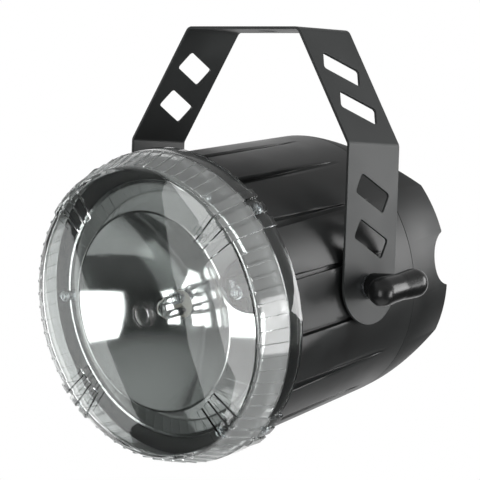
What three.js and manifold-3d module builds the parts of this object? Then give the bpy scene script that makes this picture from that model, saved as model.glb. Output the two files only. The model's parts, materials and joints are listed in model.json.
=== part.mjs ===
// A hanging strobe light: a round black lamp with a clear ribbed cover, carried in a steel
// yoke by two clamp knobs. Millimetres, +Z up, the lamp's front towards -Y.
// The origin is the hanging point, the middle of the yoke's top face.
import * as THREE from 'three';
import { mergeVertices } from 'three/addons/utils/BufferGeometryUtils.js';
import Module from 'manifold-3d';

const wasm = await Module();
wasm.setup();

// Clearances and small working values.
const gap = 0.3;
const overrun = 2;
const weldTolerance = 0.001;

// Smoothness of round shapes: facets in a full turn.
const ringFacets = 40;
const roundFacets = 20;
const smallFacets = 12;
const boreFacets = 10;
const hexFacets = 6;
const bendSteps = 3;

// The lamp's own axis runs along y through the pivot axis. The photographed pose
// tips the front down by this much.
const lampTilt = THREE.MathUtils.degToRad(12.1);

// The clear front cover, from its skirt inwards and from its front edge backwards.
const skirtRadius = 82.1;
const skirtWall = 4.1;
const skirtStep = 0.4;
const bandTaper = 5.3;
const coverFrontY = -88;
const bandLength = 18.6;
const skirtLength = 9.9;
const coverDomeRise = 2;
const coverEdgeRadius = 2.5;
const coverWall = 2.4;
const coverTurn = THREE.MathUtils.degToRad(39.5);
const gripGroups = 4;
const gripBars = 3;
const gripPitch = THREE.MathUtils.degToRad(6.3);
const gripWidth = 6.2;
const gripStand = 1.6;
const frontBarLength = 18.4;
const frontBarStand = 1.2;
const gateRadius = 7;
const gateDiscRadius = 4.2;
const gateStand = 0.5;
const bandBackRadius = skirtRadius - skirtStep;
const coverFrontRadius = bandBackRadius - bandTaper;
const frontBarInnerRadius = coverFrontRadius - frontBarLength;
const bandBackY = coverFrontY + bandLength;
const skirtBackY = bandBackY + skirtLength;
const skirtInnerRadius = skirtRadius - skirtWall;

// The main housing shell stands inside the cover's skirt.
const coverDepth = 15.5;
const collarLength = 16.5;
const housingTaper = 7.1;
const seamY = 43;
const shellWall = 2.5;
const shellFrontWall = 5.2;
const frontRingWidth = 9.1;
const lipThickness = 4;
const lipLap = 3;
const grooveCount = 16;
const grooveDepth = 3.4;
const grooveWidth = 5.4;
const sideGrooveWidth = 3;
const grooveSeamGap = 16;
const grooveTailShare = 0.35;
const sideFlatDepth = 3.7;
const pivotPadRadius = 10.5;
const pivotBossRadius = 9;
const pivotBossDepth = 15;
const housingFrontRadius = skirtInnerRadius - 2 * gap;
const housingFrontY = coverFrontY + coverDepth;
const housingShoulderY = housingFrontY + collarLength;
const seamRadius = housingFrontRadius - housingTaper;
const grooveEndY = seamY - grooveSeamGap;
const pivotPadFace = housingFrontRadius - sideFlatDepth;

// The rear cover, sloped above and below, with a round bite in each side and a sunk plate.
const rearLength = 32;
const rearTaper = 3.5;
const spigotLength = 9;
const spigotWall = 2;
const rearRecess = 15;
const rearPlateThickness = 2.5;
const rearHalfHeight = 38.6;
const slopeWall = 2;
const biteCount = 2;
const biteRadius = 14.5;
const biteDepth = 11.4;
const biteCornerRadius = 1.5;
const ventCount = 5;
const ventPitch = 7;
const ventWidth = 3;
const ventHeight = 20;
const ventCentreZ = -12;
const rearEndY = seamY + rearLength;
const rearEndRadius = seamRadius - rearTaper;
const rearPlateY = rearEndY - rearRecess;

// The reflector: a shallow bowl, a sloping flange and a flat edge held by the housing's ring.
const edgeWidth = 2;
const flangeWidth = 14;
const flangeStep = 0.9;
const flangeRise = 7.1;
const bowlDepth = 23;
const apexHoleRadius = 7.4;
const reflectorWall = 1.2;
const notchTurn = THREE.MathUtils.degToRad(13.5);
const notchRadius = 15.5;
const notchLip = 1.3;
const notchLipHeight = 2;
const rebateRadius = housingFrontRadius - frontRingWidth;
const edgeRadius = rebateRadius - gap;
const flangeOuterRadius = edgeRadius - edgeWidth;
const bowlRadius = flangeOuterRadius - flangeWidth;
const lipInnerRadius = edgeRadius - lipLap;
const flangeBackY = housingFrontY - flangeStep;
const bowlRimY = flangeBackY - flangeRise;
const bowlApexY = bowlRimY + bowlDepth;

// The flash tube, its holder and its trigger wire.
const tubeRadius = 2.2;
const tubeSpacing = 7.4;
const tubeSetBack = 2.5;
const tubeSocketDepth = 6;
const tubeSteps = 20;
const holderNeckStand = 0.5;
const holderLength = 20;
const holderFlangeRadius = 15;
const holderFlangeThickness = 3;
const holderBodyRadius = 11;
const wireRadius = 0.35;
const wireTurns = 3;
const wirePitch = 2.4;
const wireSides = 6;
const wireStepsPerTurn = 12;
const wireEndStand = 1.2;
const tubeFrontY = bowlRimY + tubeSetBack;
const holderNeckFrontY = bowlApexY - holderNeckStand;
const wireFrontY = holderNeckFrontY - wireEndStand - wireTurns * wirePitch;
const holderBackY = holderNeckFrontY + holderLength;

// Pivot hardware: threaded insert, friction washer, steel washer, stud and T-shaped knob.
const studRadius = 3;
const studDepth = 12.7;
const insertRadius = 5;
const frictionWasherRadius = 10;
const frictionWasherThickness = 0.8;
const steelWasherRadius = 6.4;
const steelWasherThickness = 1.2;
const knobBarLength = 40;
const knobEndRadius = 7.7;
const knobWaistRadius = 7.1;
const knobBarOffset = 19.4;
const knobStemRadius = 7;
const knobTurn = THREE.MathUtils.degToRad(-0.8);
const studInnerX = pivotPadFace - studDepth;

// The steel yoke: one strip bent four times, with rounded ends at the pivots.
const yokeWidth = 40;
const sheetThickness = 1.5;
const armLean = 37.3;
const pivotDrop = 133;
const bendDrop = 60;
const bendRadius = 3;
const hangHoleRadius = 5.25;
const slotLength = 24.4;
const slotHeight = 10.9;
const slotCornerRadius = 1.6;
const slotEndGap = 24.4;
const slotShift = 1.6;
const slotTurn = THREE.MathUtils.degToRad(25.5);
const yokeInnerHalfSpan = pivotPadFace + frictionWasherThickness + 2 * gap;
const yokeHalfSpan = yokeInnerHalfSpan + sheetThickness;
const yokeTopHalfSpan = yokeHalfSpan - armLean;
const pivotHoleRadius = studRadius + gap;
const slotPitch = (pivotDrop - bendDrop - slotEndGap - slotShift) / 2;

// Fasteners.
const screwHeadRadius = 3;
const screwHeadHeight = 2.1;
const screwCrownShare = 0.7;
const screwShankRadius = 1.4;
const screwLength = 9;
const boardScrewLength = 7;
const rearScrewLength = 16;
const rearScrewInset = 6.3;
const rearBossRadius = 4.4;
const rearBossLength = 47.7;
const reflectorScrewInset = 7.1;
const reflectorScrewTurns = [176.5, 56.5, -63.5].map(THREE.MathUtils.degToRad);
const rearScrewCircle = rearEndRadius - rearScrewInset;
const rearBossBackY = rearPlateY - gap;
const rearBossFrontY = rearBossBackY - rearBossLength;
const reflectorScrewCircle = housingFrontRadius - reflectorScrewInset;

// The terminal in the reflector's notch.
const terminalInset = 5.5;
const terminalTurn = THREE.MathUtils.degToRad(11.6);
const terminalTongueWidth = 7;
const terminalStand = 4;
const terminalRingRadius = 3.8;
const terminalThickness = 0.8;
const terminalBarrelRadius = 1.7;
const terminalBarrelLength = 7;
const terminalCircle = edgeRadius - notchRadius + terminalInset;
const terminalFaceY = housingFrontY - terminalStand;

// The circuit board and what it carries. Its corners keep clear of the rear screws' bosses.
const boardCornerGap = 5.8;
const boardCornerTurn = THREE.MathUtils.degToRad(39.8);
const boardThickness = 1.6;
const boardPostLength = 36;
const boardHoleInset = 6;
const boardPostRadius = 3.6;
const capacitorRadius = 12.5;
const capacitorLength = 34;
const capacitorGap = 17;
const capacitorTopGap = 8.5;
const capacitorRimRadius = 1.2;
const transformerSize = [22, 17, 18];
const resistorSize = [26, 9, 9];
const terminalBlockSize = [20, 12, 10];
const componentGap = 2;
const componentDrop = 18;
const edgeBevel = 0.8;
const boardCorner = rearScrewCircle - boardCornerGap;
const boardWidth = 2 * boardCorner * Math.cos(boardCornerTurn);
const boardHeight = 2 * boardCorner * Math.sin(boardCornerTurn);
const boardHoleX = boardWidth / 2 - boardHoleInset;
const boardHoleZ = boardHeight / 2 - boardHoleInset;
const boardBackY = rearPlateY - boardPostLength;
const boardFrontY = boardBackY - boardThickness;
const capacitorX = capacitorRadius + capacitorGap / 2;
const capacitorZ = boardHeight / 2 - capacitorTopGap - capacitorRadius;
const transformerPlace = [0, -componentDrop];
const resistorPlace = [(transformerSize[0] + resistorSize[0]) / 2 + componentGap, -componentDrop];
const terminalBlockX = -(transformerSize[0] + terminalBlockSize[0]) / 2 - componentGap;
const terminalBlockPlace = [terminalBlockX, -componentDrop];

// Controls and inlet on the rear plate.
const ratePlace = [0, 18];
const rateKnobRadius = 11;
const rateKnobHeight = 9;
const rateKnobGrip = 1;
const rateKnobFlutes = 12;
const pointerWidth = 1.4;
const potRadius = 12;
const potDepth = 11;
const bushRadius = 3.5;
const bushStand = 2.6;
const nutRadius = 5.6;
const nutThickness = 2;
const shaftRadius = 2.6;
const shaftDepth = 6;
const inletInset = 8;
const inletRise = 9;
const inletX = boardHoleX - inletInset;
const inletZ = inletRise - boardHoleZ;
const fusePlace = [-inletX, inletZ];
const fuseBodyRadius = 6;
const fuseFlangeRadius = 8;
const fuseFlangeThickness = 2;
const fuseBodyDepth = 24;
const fuseBoreRadius = 3.5;
const fuseRadius = 2.6;
const fuseLength = 20;
const fuseCapRadius = 6.6;
const fuseCapHeight = 7.6;
const fuseCapSlotWidth = 1.6;
const fuseCapSlotDepth = 1.8;
const glandPlace = [inletX, inletZ];
const glandHexRadius = 9;
const glandHexHeight = 4;
const glandThreadRadius = 6;
const glandBoreRadius = 3.6;
const glandDomeRadius = 7.6;
const glandDomeHeight = 7;
const glandInnerDepth = 9;
const lockNutRadius = 9;
const lockNutThickness = 3;

// Helpers that turn three.js shapes into solids and back.

function solid(geometry) {
  const loose = geometry.index ? geometry.toNonIndexed() : geometry.clone();
  for (const name of Object.keys(loose.attributes)) {
    if (name !== 'position') loose.deleteAttribute(name);
  }
  const welded = mergeVertices(loose, weldTolerance);
  const places = welded.attributes.position.array;
  const corners = welded.index.array;
  const kept = [];
  let volume = 0;
  for (let i = 0; i < corners.length; i += 3) {
    const [a, b, c] = [corners[i], corners[i + 1], corners[i + 2]];
    if (a === b || b === c || c === a) continue;
    kept.push(a, b, c);
    const pa = new THREE.Vector3().fromArray(places, 3 * a);
    const pb = new THREE.Vector3().fromArray(places, 3 * b);
    const pc = new THREE.Vector3().fromArray(places, 3 * c);
    volume += pa.dot(pb.cross(pc));
  }
  if (volume < 0) kept.reverse();
  const mesh = new wasm.Mesh({
    numProp: 3,
    vertProperties: Float32Array.from(places),
    triVerts: Uint32Array.from(kept),
  });
  return new wasm.Manifold(mesh);
}

function toGeometry(body) {
  const mesh = body.getMesh();
  const geometry = new THREE.BufferGeometry();
  geometry.setAttribute('position', new THREE.BufferAttribute(mesh.vertProperties, 3));
  geometry.setIndex(new THREE.BufferAttribute(mesh.triVerts, 1));
  geometry.computeVertexNormals();
  return geometry;
}

function joined(...bodies) {
  return bodies.reduce((sum, body) => sum.add(body));
}

function cut(body, ...tools) {
  return tools.reduce((rest, tool) => rest.subtract(tool), body);
}

// A turned shape about the y axis, from [radius, y] points.
function turned(points, facets = roundFacets) {
  const profile = points.map(([radius, y]) => new THREE.Vector2(radius, y));
  const onAxis = points[0][0] === 0 && points[points.length - 1][0] === 0;
  if (!onAxis) profile.push(profile[0].clone());
  return new THREE.LatheGeometry(profile, facets);
}

// A plain round bar about the y axis, between two places on it.
function roundBar(radius, fromY, toY, facets = boreFacets) {
  const bar = new THREE.CylinderGeometry(radius, radius, Math.abs(toY - fromY), facets);
  return bar.translate(0, (fromY + toY) / 2, 0);
}

function block(low, high) {
  const size = high.map((value, i) => value - low[i]);
  const middle = high.map((value, i) => (value + low[i]) / 2);
  return new THREE.BoxGeometry(...size).translate(...middle);
}

// Turns a shape about the lamp's axis: what lay towards +X moves towards +Z.
function swung(geometry, turn) {
  return geometry.clone().rotateY(-turn);
}

function arc(centre, radius, fromTurn, toTurn, steps) {
  const points = [];
  for (let i = 0; i <= steps; i += 1) {
    const turn = fromTurn + ((toTurn - fromTurn) * i) / steps;
    points.push([centre[0] + radius * Math.cos(turn), centre[1] + radius * Math.sin(turn)]);
  }
  return points;
}

function outline(points) {
  return new THREE.Shape(points.map(([x, y]) => new THREE.Vector2(x, y)));
}

function slab(shape, depth) {
  return new THREE.ExtrudeGeometry(shape, { depth, bevelEnabled: false, curveSegments: bendSteps });
}

// A rectangle with rounded corners about its centre.
function roundedRectangle(width, height, radius) {
  const x = width / 2 - radius;
  const y = height / 2 - radius;
  const quarter = Math.PI / 2;
  return outline([
    ...arc([x, y], radius, 0, quarter, bendSteps),
    ...arc([-x, y], radius, quarter, 2 * quarter, bendSteps),
    ...arc([-x, -y], radius, 2 * quarter, 3 * quarter, bendSteps),
    ...arc([x, -y], radius, 3 * quarter, 4 * quarter, bendSteps),
  ]);
}

// A line of points with its inner corners rounded.
function roundedLine(corners, radius) {
  const line = [corners[0]];
  for (let i = 1; i < corners.length - 1; i += 1) {
    const here = new THREE.Vector2(...corners[i]);
    const back = new THREE.Vector2(...corners[i - 1]).sub(here).normalize();
    const ahead = new THREE.Vector2(...corners[i + 1]).sub(here).normalize();
    const halfAngle = Math.acos(back.dot(ahead)) / 2;
    const reach = radius / Math.tan(halfAngle);
    const middle = back.clone().add(ahead).normalize();
    const centre = here.clone().addScaledVector(middle, radius / Math.sin(halfAngle));
    const start = here.clone().addScaledVector(back, reach).sub(centre);
    const end = here.clone().addScaledVector(ahead, reach).sub(centre);
    let sweep = end.angle() - start.angle();
    if (sweep > Math.PI) sweep -= 2 * Math.PI;
    if (sweep < -Math.PI) sweep += 2 * Math.PI;
    line.push(...arc([centre.x, centre.y], radius, start.angle(), start.angle() + sweep, bendSteps));
  }
  line.push(corners[corners.length - 1]);
  return line;
}

// Named finishes. Each piece takes its own copy.
const finishes = {
  powderBlack: { color: '#232426', roughness: 0.5, metalness: 0.2 },
  mouldedBlack: { color: '#1b1c1c', roughness: 0.45, metalness: 0 },
  knobBlack: { color: '#161717', roughness: 0.3, metalness: 0 },
  clearPlastic: { color: '#eef2f2', roughness: 0.06, metalness: 0, transparent: true, opacity: 0.35 },
  mirror: { color: '#c9cbcb', roughness: 0.1, metalness: 1 },
  steel: { color: '#b5b7b8', roughness: 0.3, metalness: 1 },
  brass: { color: '#b79a55', roughness: 0.35, metalness: 1 },
  rubber: { color: '#1d1d1d', roughness: 0.85, metalness: 0 },
  glass: { color: '#f2f6f7', roughness: 0.03, metalness: 0, transparent: true, opacity: 0.3 },
  ceramic: { color: '#e9e5da', roughness: 0.5, metalness: 0 },
  board: { color: '#2f6b3a', roughness: 0.5, metalness: 0 },
  sleeve: { color: '#23304f', roughness: 0.4, metalness: 0 },
};

const light = new THREE.Group();
const lamp = new THREE.Group();
lamp.position.set(0, 0, -pivotDrop);
lamp.rotation.x = lampTilt;
light.add(lamp);

function piece(group, name, geometry, finish) {
  const mesh = new THREE.Mesh(geometry, new THREE.MeshStandardMaterial(finishes[finish]));
  mesh.name = name;
  group.add(mesh);
  return mesh;
}

// The yoke strip, seen from the front as a thick bent line and drawn out across its width.
function yokeShape() {
  const halfSheet = sheetThickness / 2;
  const pivotZ = -pivotDrop;
  const side = yokeHalfSpan - halfSheet;
  const top = yokeTopHalfSpan - halfSheet;
  const middleRadius = bendRadius + halfSheet;
  const endZ = pivotZ - yokeWidth / 2;
  const corners = [
    [side, endZ],
    [side, -bendDrop],
    [top, -halfSheet],
    [-top, -halfSheet],
    [-side, -bendDrop],
    [-side, endZ],
  ];
  const line = roundedLine(corners, middleRadius);
  const outer = [];
  const inner = [];
  line.forEach((point, i) => {
    const before = new THREE.Vector2(...line[Math.max(i - 1, 0)]);
    const after = new THREE.Vector2(...line[Math.min(i + 1, line.length - 1)]);
    const along = after.sub(before).normalize();
    outer.push([point[0] + along.y * halfSheet, point[1] - along.x * halfSheet]);
    inner.unshift([point[0] - along.y * halfSheet, point[1] + along.x * halfSheet]);
  });
  const strip = slab(outline([...outer, ...inner]), yokeWidth).rotateX(Math.PI / 2);
  return solid(strip.translate(0, yokeWidth / 2, 0));
}

// A slanted slot's cutter lies in the y-z plane and reaches through a sheet at x = 0.
function slotCutter() {
  const reach = sheetThickness + overrun;
  const bar = slab(roundedRectangle(slotLength, slotHeight, slotCornerRadius), 2 * reach);
  return bar.translate(0, 0, -reach).rotateZ(-slotTurn).rotateX(Math.PI / 2).rotateZ(Math.PI / 2);
}

// Four slots run down each arm at one pitch, two on each side of its bend.
function armCuts(sideSign) {
  const upright = new THREE.Vector2(0, -1);
  const lean = new THREE.Vector2(yokeTopHalfSpan - yokeHalfSpan, bendDrop).normalize();
  const bend = new THREE.Vector2(yokeHalfSpan, -bendDrop);
  const cuts = [];
  const places = [
    { along: lean, distance: slotPitch - slotShift },
    { along: lean, distance: 2 * slotPitch - slotShift },
    { along: upright, distance: slotPitch + slotShift },
    { along: upright, distance: 2 * slotPitch + slotShift },
  ];
  for (const { along, distance } of places) {
    const place = bend.clone().addScaledVector(along, distance);
    const cutter = slotCutter();
    const leanTurn = along === lean ? Math.atan2(yokeHalfSpan - yokeTopHalfSpan, bendDrop) : 0;
    cutter.rotateY(-leanTurn).translate(place.x, 0, place.y);
    if (sideSign < 0) cutter.scale(-1, 1, 1);
    cuts.push(solid(cutter));
  }
  return cuts;
}

// What is left outside the round end of an arm.
function endCutter() {
  const half = yokeWidth / 2;
  const reach = half + overrun;
  const ends = arc([0, 0], half, 0, -Math.PI, roundFacets / 2);
  const corner = outline([[reach, 0], [reach, -reach], [-reach, -reach], [-reach, 0], ...ends.reverse()]);
  const depth = 2 * (yokeHalfSpan + overrun);
  const cutter = slab(corner, depth).translate(0, 0, -depth / 2);
  return cutter.rotateX(Math.PI / 2).rotateZ(Math.PI / 2).translate(0, 0, -pivotDrop);
}

function yokeBracket() {
  const pivotHoles = roundBar(pivotHoleRadius, -yokeHalfSpan - overrun, yokeHalfSpan + overrun);
  pivotHoles.rotateZ(Math.PI / 2).translate(0, 0, -pivotDrop);
  const hangHole = roundBar(hangHoleRadius, -sheetThickness - overrun, overrun, roundFacets);
  hangHole.rotateX(Math.PI / 2);
  return cut(
    yokeShape(), ...armCuts(1), ...armCuts(-1), solid(endCutter()), solid(pivotHoles), solid(hangHole),
  );
}

piece(light, 'yoke_bracket', toGeometry(yokeBracket()), 'powderBlack');

// The clear cover: a slightly domed front, a conical band and a plain skirt.
const bandSlope = (bandBackRadius - coverFrontRadius) / (bandBackY - coverFrontY);

function bandRadiusAt(y) {
  return coverFrontRadius + (y - coverFrontY) * bandSlope;
}

const coverSeatY = housingFrontY - gap;
const coverInnerRadius = skirtInnerRadius - shellWall / 2;

function coverBody() {
  const edgeCentre = [coverFrontRadius - coverEdgeRadius, coverFrontY + coverEdgeRadius];
  const edge = arc(edgeCentre, coverEdgeRadius, -Math.PI / 2, 0, bendSteps);
  const insideY = coverFrontY + coverWall;
  const insideRadius = bandRadiusAt(insideY) - coverWall;
  const domeShares = [0, 0.5, 0.85];
  const dome = domeShares.map((share) => {
    const radius = share * edgeCentre[0];
    return [radius, coverFrontY - coverDomeRise * (1 - share * share)];
  });
  const domeInside = [[0, coverFrontY - coverDomeRise + coverWall]];
  return turned([
    ...dome,
    ...edge,
    [bandBackRadius, bandBackY],
    [skirtRadius, bandBackY],
    [skirtRadius, skirtBackY],
    [skirtInnerRadius, skirtBackY],
    [skirtInnerRadius, coverSeatY],
    [coverInnerRadius, coverSeatY],
    [insideRadius, insideY + coverWall / 2],
    ...domeInside,
  ], ringFacets);
}

// One stepped grip bar: across the front, along the band and out over the skirt.
function gripBar() {
  const frontY = coverFrontY - frontBarStand;
  const rise = gripStand / 2;
  const side = [
    [frontBarInnerRadius, frontY],
    [coverFrontRadius - coverEdgeRadius, frontY],
    [coverFrontRadius + rise, coverFrontY + rise],
    [bandBackRadius + rise, bandBackY],
    [skirtRadius + gripStand, bandBackY],
    [skirtRadius + gripStand, skirtBackY],
    [skirtRadius - coverWall / 2, skirtBackY],
    [bandRadiusAt(bandBackY) - coverWall / 2, bandBackY],
    [bandRadiusAt(coverFrontY) - coverWall / 2, coverFrontY + coverWall / 2],
    [frontBarInnerRadius, coverFrontY + coverWall / 2],
  ];
  return slab(outline(side), gripWidth).translate(0, 0, -gripWidth / 2);
}

function gripTurns() {
  const turns = [];
  for (let group = 0; group < gripGroups; group += 1) {
    turns.push(coverTurn + (group / gripGroups) * 2 * Math.PI);
  }
  return turns;
}

const coverScrewY = (bandBackY + skirtBackY) / 2;
const coverScrewSeat = skirtRadius + gripStand - screwHeadHeight;

function coverScrewBore() {
  const shank = roundBar(screwShankRadius + gap, 0, skirtRadius + gripStand + overrun);
  const head = roundBar(screwHeadRadius + gap, coverScrewSeat - gap, skirtRadius + gripStand + overrun);
  return [shank, head].map((bore) => bore.rotateZ(-Math.PI / 2).translate(0, coverScrewY, 0));
}

function frontCover() {
  let cover = solid(coverBody());
  for (const turn of gripTurns()) {
    for (let i = 0; i < gripBars; i += 1) {
      const offset = (i - (gripBars - 1) / 2) * gripPitch;
      cover = cover.add(solid(swung(gripBar(), turn + offset)));
    }
  }
  const gateTopY = coverFrontY - coverDomeRise - gateStand;
  const gateRootY = coverFrontY - coverDomeRise + coverWall / 2;
  const gate = turned([
    [gateRadius - gateStand, gateTopY],
    [gateRadius, gateTopY],
    [gateRadius, gateRootY],
    [gateRadius - gateStand, gateRootY],
  ], smallFacets);
  const gateDisc = turned([
    [0, gateTopY],
    [gateDiscRadius, gateTopY],
    [gateDiscRadius, gateRootY],
    [0, gateRootY],
  ]);
  cover = cover.add(solid(gate)).add(solid(gateDisc));
  for (const turn of gripTurns()) {
    for (const bore of coverScrewBore()) {
      cover = cover.subtract(solid(swung(bore, turn)));
    }
  }
  return cover;
}

piece(lamp, 'front_cover', toGeometry(frontCover()), 'clearPlastic');

// A pan-head screw about the y axis: head towards -y, seat at y = 0.
function screw(length) {
  return turned([
    [0, -screwHeadHeight],
    [screwHeadRadius * screwCrownShare, -screwHeadHeight],
    [screwHeadRadius, -screwHeadHeight / 2],
    [screwHeadRadius, 0],
    [screwShankRadius, 0],
    [screwShankRadius, length],
    [0, length],
  ], boreFacets);
}

function screwMesh(name, length) {
  return piece(lamp, name, toGeometry(solid(screw(length))), 'steel');
}

gripTurns().forEach((turn, i) => {
  const mesh = screwMesh(`cover_screw_${i + 1}`, screwLength);
  mesh.rotation.set(0, -turn, Math.PI / 2, 'YXZ');
  mesh.position.set(coverScrewSeat * Math.cos(turn), coverScrewY, coverScrewSeat * Math.sin(turn));
});

// The main shell: a tapering tube with a lip inside its front.
const taper = (seamRadius - housingFrontRadius) / (seamY - housingShoulderY);

function shellRadiusAt(y) {
  return housingFrontRadius + Math.max(y - housingShoulderY, 0) * taper;
}

const rebateFloorY = housingFrontY + reflectorWall + gap;
const lipBackY = housingFrontY + lipThickness;

function shellBody() {
  return turned([
    [housingFrontRadius, housingFrontY],
    [housingFrontRadius, housingShoulderY],
    [seamRadius, seamY],
    [seamRadius - shellWall, seamY],
    [housingFrontRadius - shellFrontWall, housingShoulderY],
    [housingFrontRadius - shellFrontWall, lipBackY],
    [lipInnerRadius, lipBackY],
    [lipInnerRadius, rebateFloorY],
    [rebateRadius, rebateFloorY],
    [rebateRadius, housingFrontY],
  ], ringFacets);
}

// A groove starts deep and wide at the front and fades out towards the rear.
function grooveCutter(width) {
  const frontY = housingShoulderY;
  const half = width / 2;
  const tail = half * grooveTailShare;
  const top = housingFrontRadius + overrun;
  const foot = housingFrontRadius - grooveDepth;
  const end = shellRadiusAt(grooveEndY);
  const wedge = new THREE.BufferGeometry();
  const places = [
    [foot, frontY, -half], [foot, frontY, half], [top, frontY, half], [top, frontY, -half],
    [end, grooveEndY, -tail], [end, grooveEndY, tail],
    [top, grooveEndY, tail], [top, grooveEndY, -tail],
  ];
  const faces = [[0, 1, 2, 3], [7, 6, 5, 4], [0, 4, 5, 1], [1, 5, 6, 2], [2, 6, 7, 3], [3, 7, 4, 0]];
  const corners = faces.flatMap(([a, b, c, d]) => [a, b, c, a, c, d]);
  wedge.setAttribute('position', new THREE.Float32BufferAttribute(places.flat(), 3));
  wedge.setIndex(corners);
  return wedge;
}

function grooveCuts() {
  const cuts = [];
  for (let i = 0; i < grooveCount; i += 1) {
    const turn = ((i + 0.5) / grooveCount) * 2 * Math.PI;
    const besideArm = Math.abs(Math.cos(turn)) > Math.cos(Math.PI / grooveCount + weldTolerance);
    cuts.push(solid(swung(grooveCutter(besideArm ? sideGrooveWidth : grooveWidth), turn)));
  }
  return cuts;
}

// The shell's sides are flat where the yoke's arms swing past.
function sideFlatCutter(sideSign) {
  const far = housingFrontRadius + overrun;
  const halfWidth = Math.sqrt(housingFrontRadius ** 2 - pivotPadFace ** 2) + overrun;
  const flat = block([pivotPadFace, housingShoulderY, -halfWidth], [far, 0, halfWidth]);
  return sideSign < 0 ? flat.scale(-1, 1, 1) : flat;
}

function alongX(bar, sideSign) {
  return bar.rotateZ((-sideSign * Math.PI) / 2);
}

const insertBoreRadius = insertRadius + gap;
const insertInnerX = pivotPadFace - pivotBossDepth;

function pivotBoss(sideSign) {
  const boss = alongX(roundBar(pivotBossRadius, insertInnerX, pivotPadFace, roundFacets), sideSign);
  const padRoot = pivotPadFace - shellWall;
  const pad = alongX(roundBar(pivotPadRadius, padRoot, pivotPadFace, roundFacets), sideSign);
  return joined(solid(boss), solid(pad));
}

function pivotBore(sideSign) {
  const bore = roundBar(insertBoreRadius, insertInnerX - overrun, pivotPadFace + overrun);
  return solid(alongX(bore, sideSign));
}

const rearScrewTurns = [17.5, 162.5, 197.5, 342.5].map(THREE.MathUtils.degToRad);
const spigotFrontY = seamY - spigotLength;

// A boss for a rear screw, tied to the wall in front of the rear cover's spigot.
function rearBoss() {
  const post = roundBar(rearBossRadius, rearBossFrontY, rearBossBackY).translate(rearScrewCircle, 0, 0);
  const webFar = shellRadiusAt(rearBossFrontY) - shellWall / 2;
  const webBackY = spigotFrontY - gap;
  const webNear = shellRadiusAt(webBackY) - shellWall / 2;
  const web = slab(outline([
    [rearScrewCircle, rearBossFrontY], [webFar, rearBossFrontY],
    [webNear, webBackY], [rearScrewCircle, webBackY],
  ]), shellWall);
  return joined(solid(post), solid(web.translate(0, 0, -shellWall / 2)));
}

function rearBossBore() {
  const depth = rearBossBackY - rearScrewLength;
  return roundBar(screwShankRadius + gap, depth, rearBossBackY + overrun).translate(rearScrewCircle, 0, 0);
}

// A tongue of the lip reaches into the reflector's notch and carries the terminal.
function terminalTongue() {
  const half = terminalTongueWidth / 2;
  const inner = terminalCircle - half;
  const tongue = slab(outline([
    [inner, terminalFaceY], [terminalCircle + half, terminalFaceY],
    [lipInnerRadius + overrun, rebateFloorY], [lipInnerRadius + overrun, lipBackY],
    [inner, lipBackY],
  ]), terminalTongueWidth);
  return swung(tongue.translate(0, 0, -half), terminalTurn);
}

function terminalBore() {
  const bore = roundBar(screwShankRadius + gap, terminalFaceY - overrun, lipBackY + overrun);
  return swung(bore.translate(terminalCircle, 0, 0), terminalTurn);
}

function mainShell() {
  let shell = cut(solid(shellBody()), ...grooveCuts());
  shell = cut(shell, solid(sideFlatCutter(1)), solid(sideFlatCutter(-1)));
  shell = joined(shell, pivotBoss(1), pivotBoss(-1), solid(terminalTongue()));
  for (const turn of rearScrewTurns) {
    const boss = rearBoss();
    const placed = solid(swung(toGeometry(boss), turn));
    shell = shell.add(placed).subtract(solid(swung(rearBossBore(), turn)));
  }
  shell = cut(shell, pivotBore(1), pivotBore(-1), solid(terminalBore()));
  for (const turn of gripTurns()) {
    const bore = roundBar(screwShankRadius + gap, lipInnerRadius, housingFrontRadius + overrun);
    bore.rotateZ(-Math.PI / 2).translate(0, coverScrewY, 0);
    shell = shell.subtract(solid(swung(bore, turn)));
  }
  for (const turn of reflectorScrewTurns) {
    const bore = roundBar(screwShankRadius + gap, housingFrontY - overrun, lipBackY + overrun);
    shell = shell.subtract(solid(swung(bore.translate(reflectorScrewCircle, 0, 0), turn)));
  }
  return shell;
}

piece(lamp, 'main_shell', toGeometry(mainShell()), 'mouldedBlack');

reflectorScrewTurns.forEach((turn, i) => {
  const mesh = screwMesh(`reflector_screw_${i + 1}`, screwLength);
  const x = reflectorScrewCircle * Math.cos(turn);
  mesh.position.set(x, housingFrontY - gap, reflectorScrewCircle * Math.sin(turn));
});

// The reflector: the bowl follows a parabola from the apex hole to its rim.
function bowlPoints(offset) {
  const points = [];
  const firstShare = apexHoleRadius / bowlRadius;
  const steps = 2 * bendSteps;
  for (let i = 0; i <= steps; i += 1) {
    const share = firstShare + ((1 - firstShare) * i) / steps;
    points.push([share * bowlRadius + offset, bowlApexY - bowlDepth * share * share + offset]);
  }
  return points;
}

function reflectorBody() {
  const inside = bowlPoints(0);
  const edgeFrontY = housingFrontY;
  const edgeBackY = edgeFrontY + reflectorWall;
  const rimTop = [bowlRadius + reflectorWall, bowlRimY];
  const outside = bowlPoints(reflectorWall).slice(0, -1).reverse();
  outside[outside.length - 1] = [apexHoleRadius, inside[0][1] + reflectorWall];
  return turned([
    ...inside,
    rimTop,
    [flangeOuterRadius, flangeBackY],
    [flangeOuterRadius, edgeFrontY],
    [edgeRadius, edgeFrontY],
    [edgeRadius, edgeBackY],
    [flangeOuterRadius - reflectorWall, edgeBackY],
    [flangeOuterRadius - reflectorWall, flangeBackY + reflectorWall],
    [bowlRadius + 2 * reflectorWall, bowlRimY + 2 * reflectorWall],
    ...outside,
  ], ringFacets);
}

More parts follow.
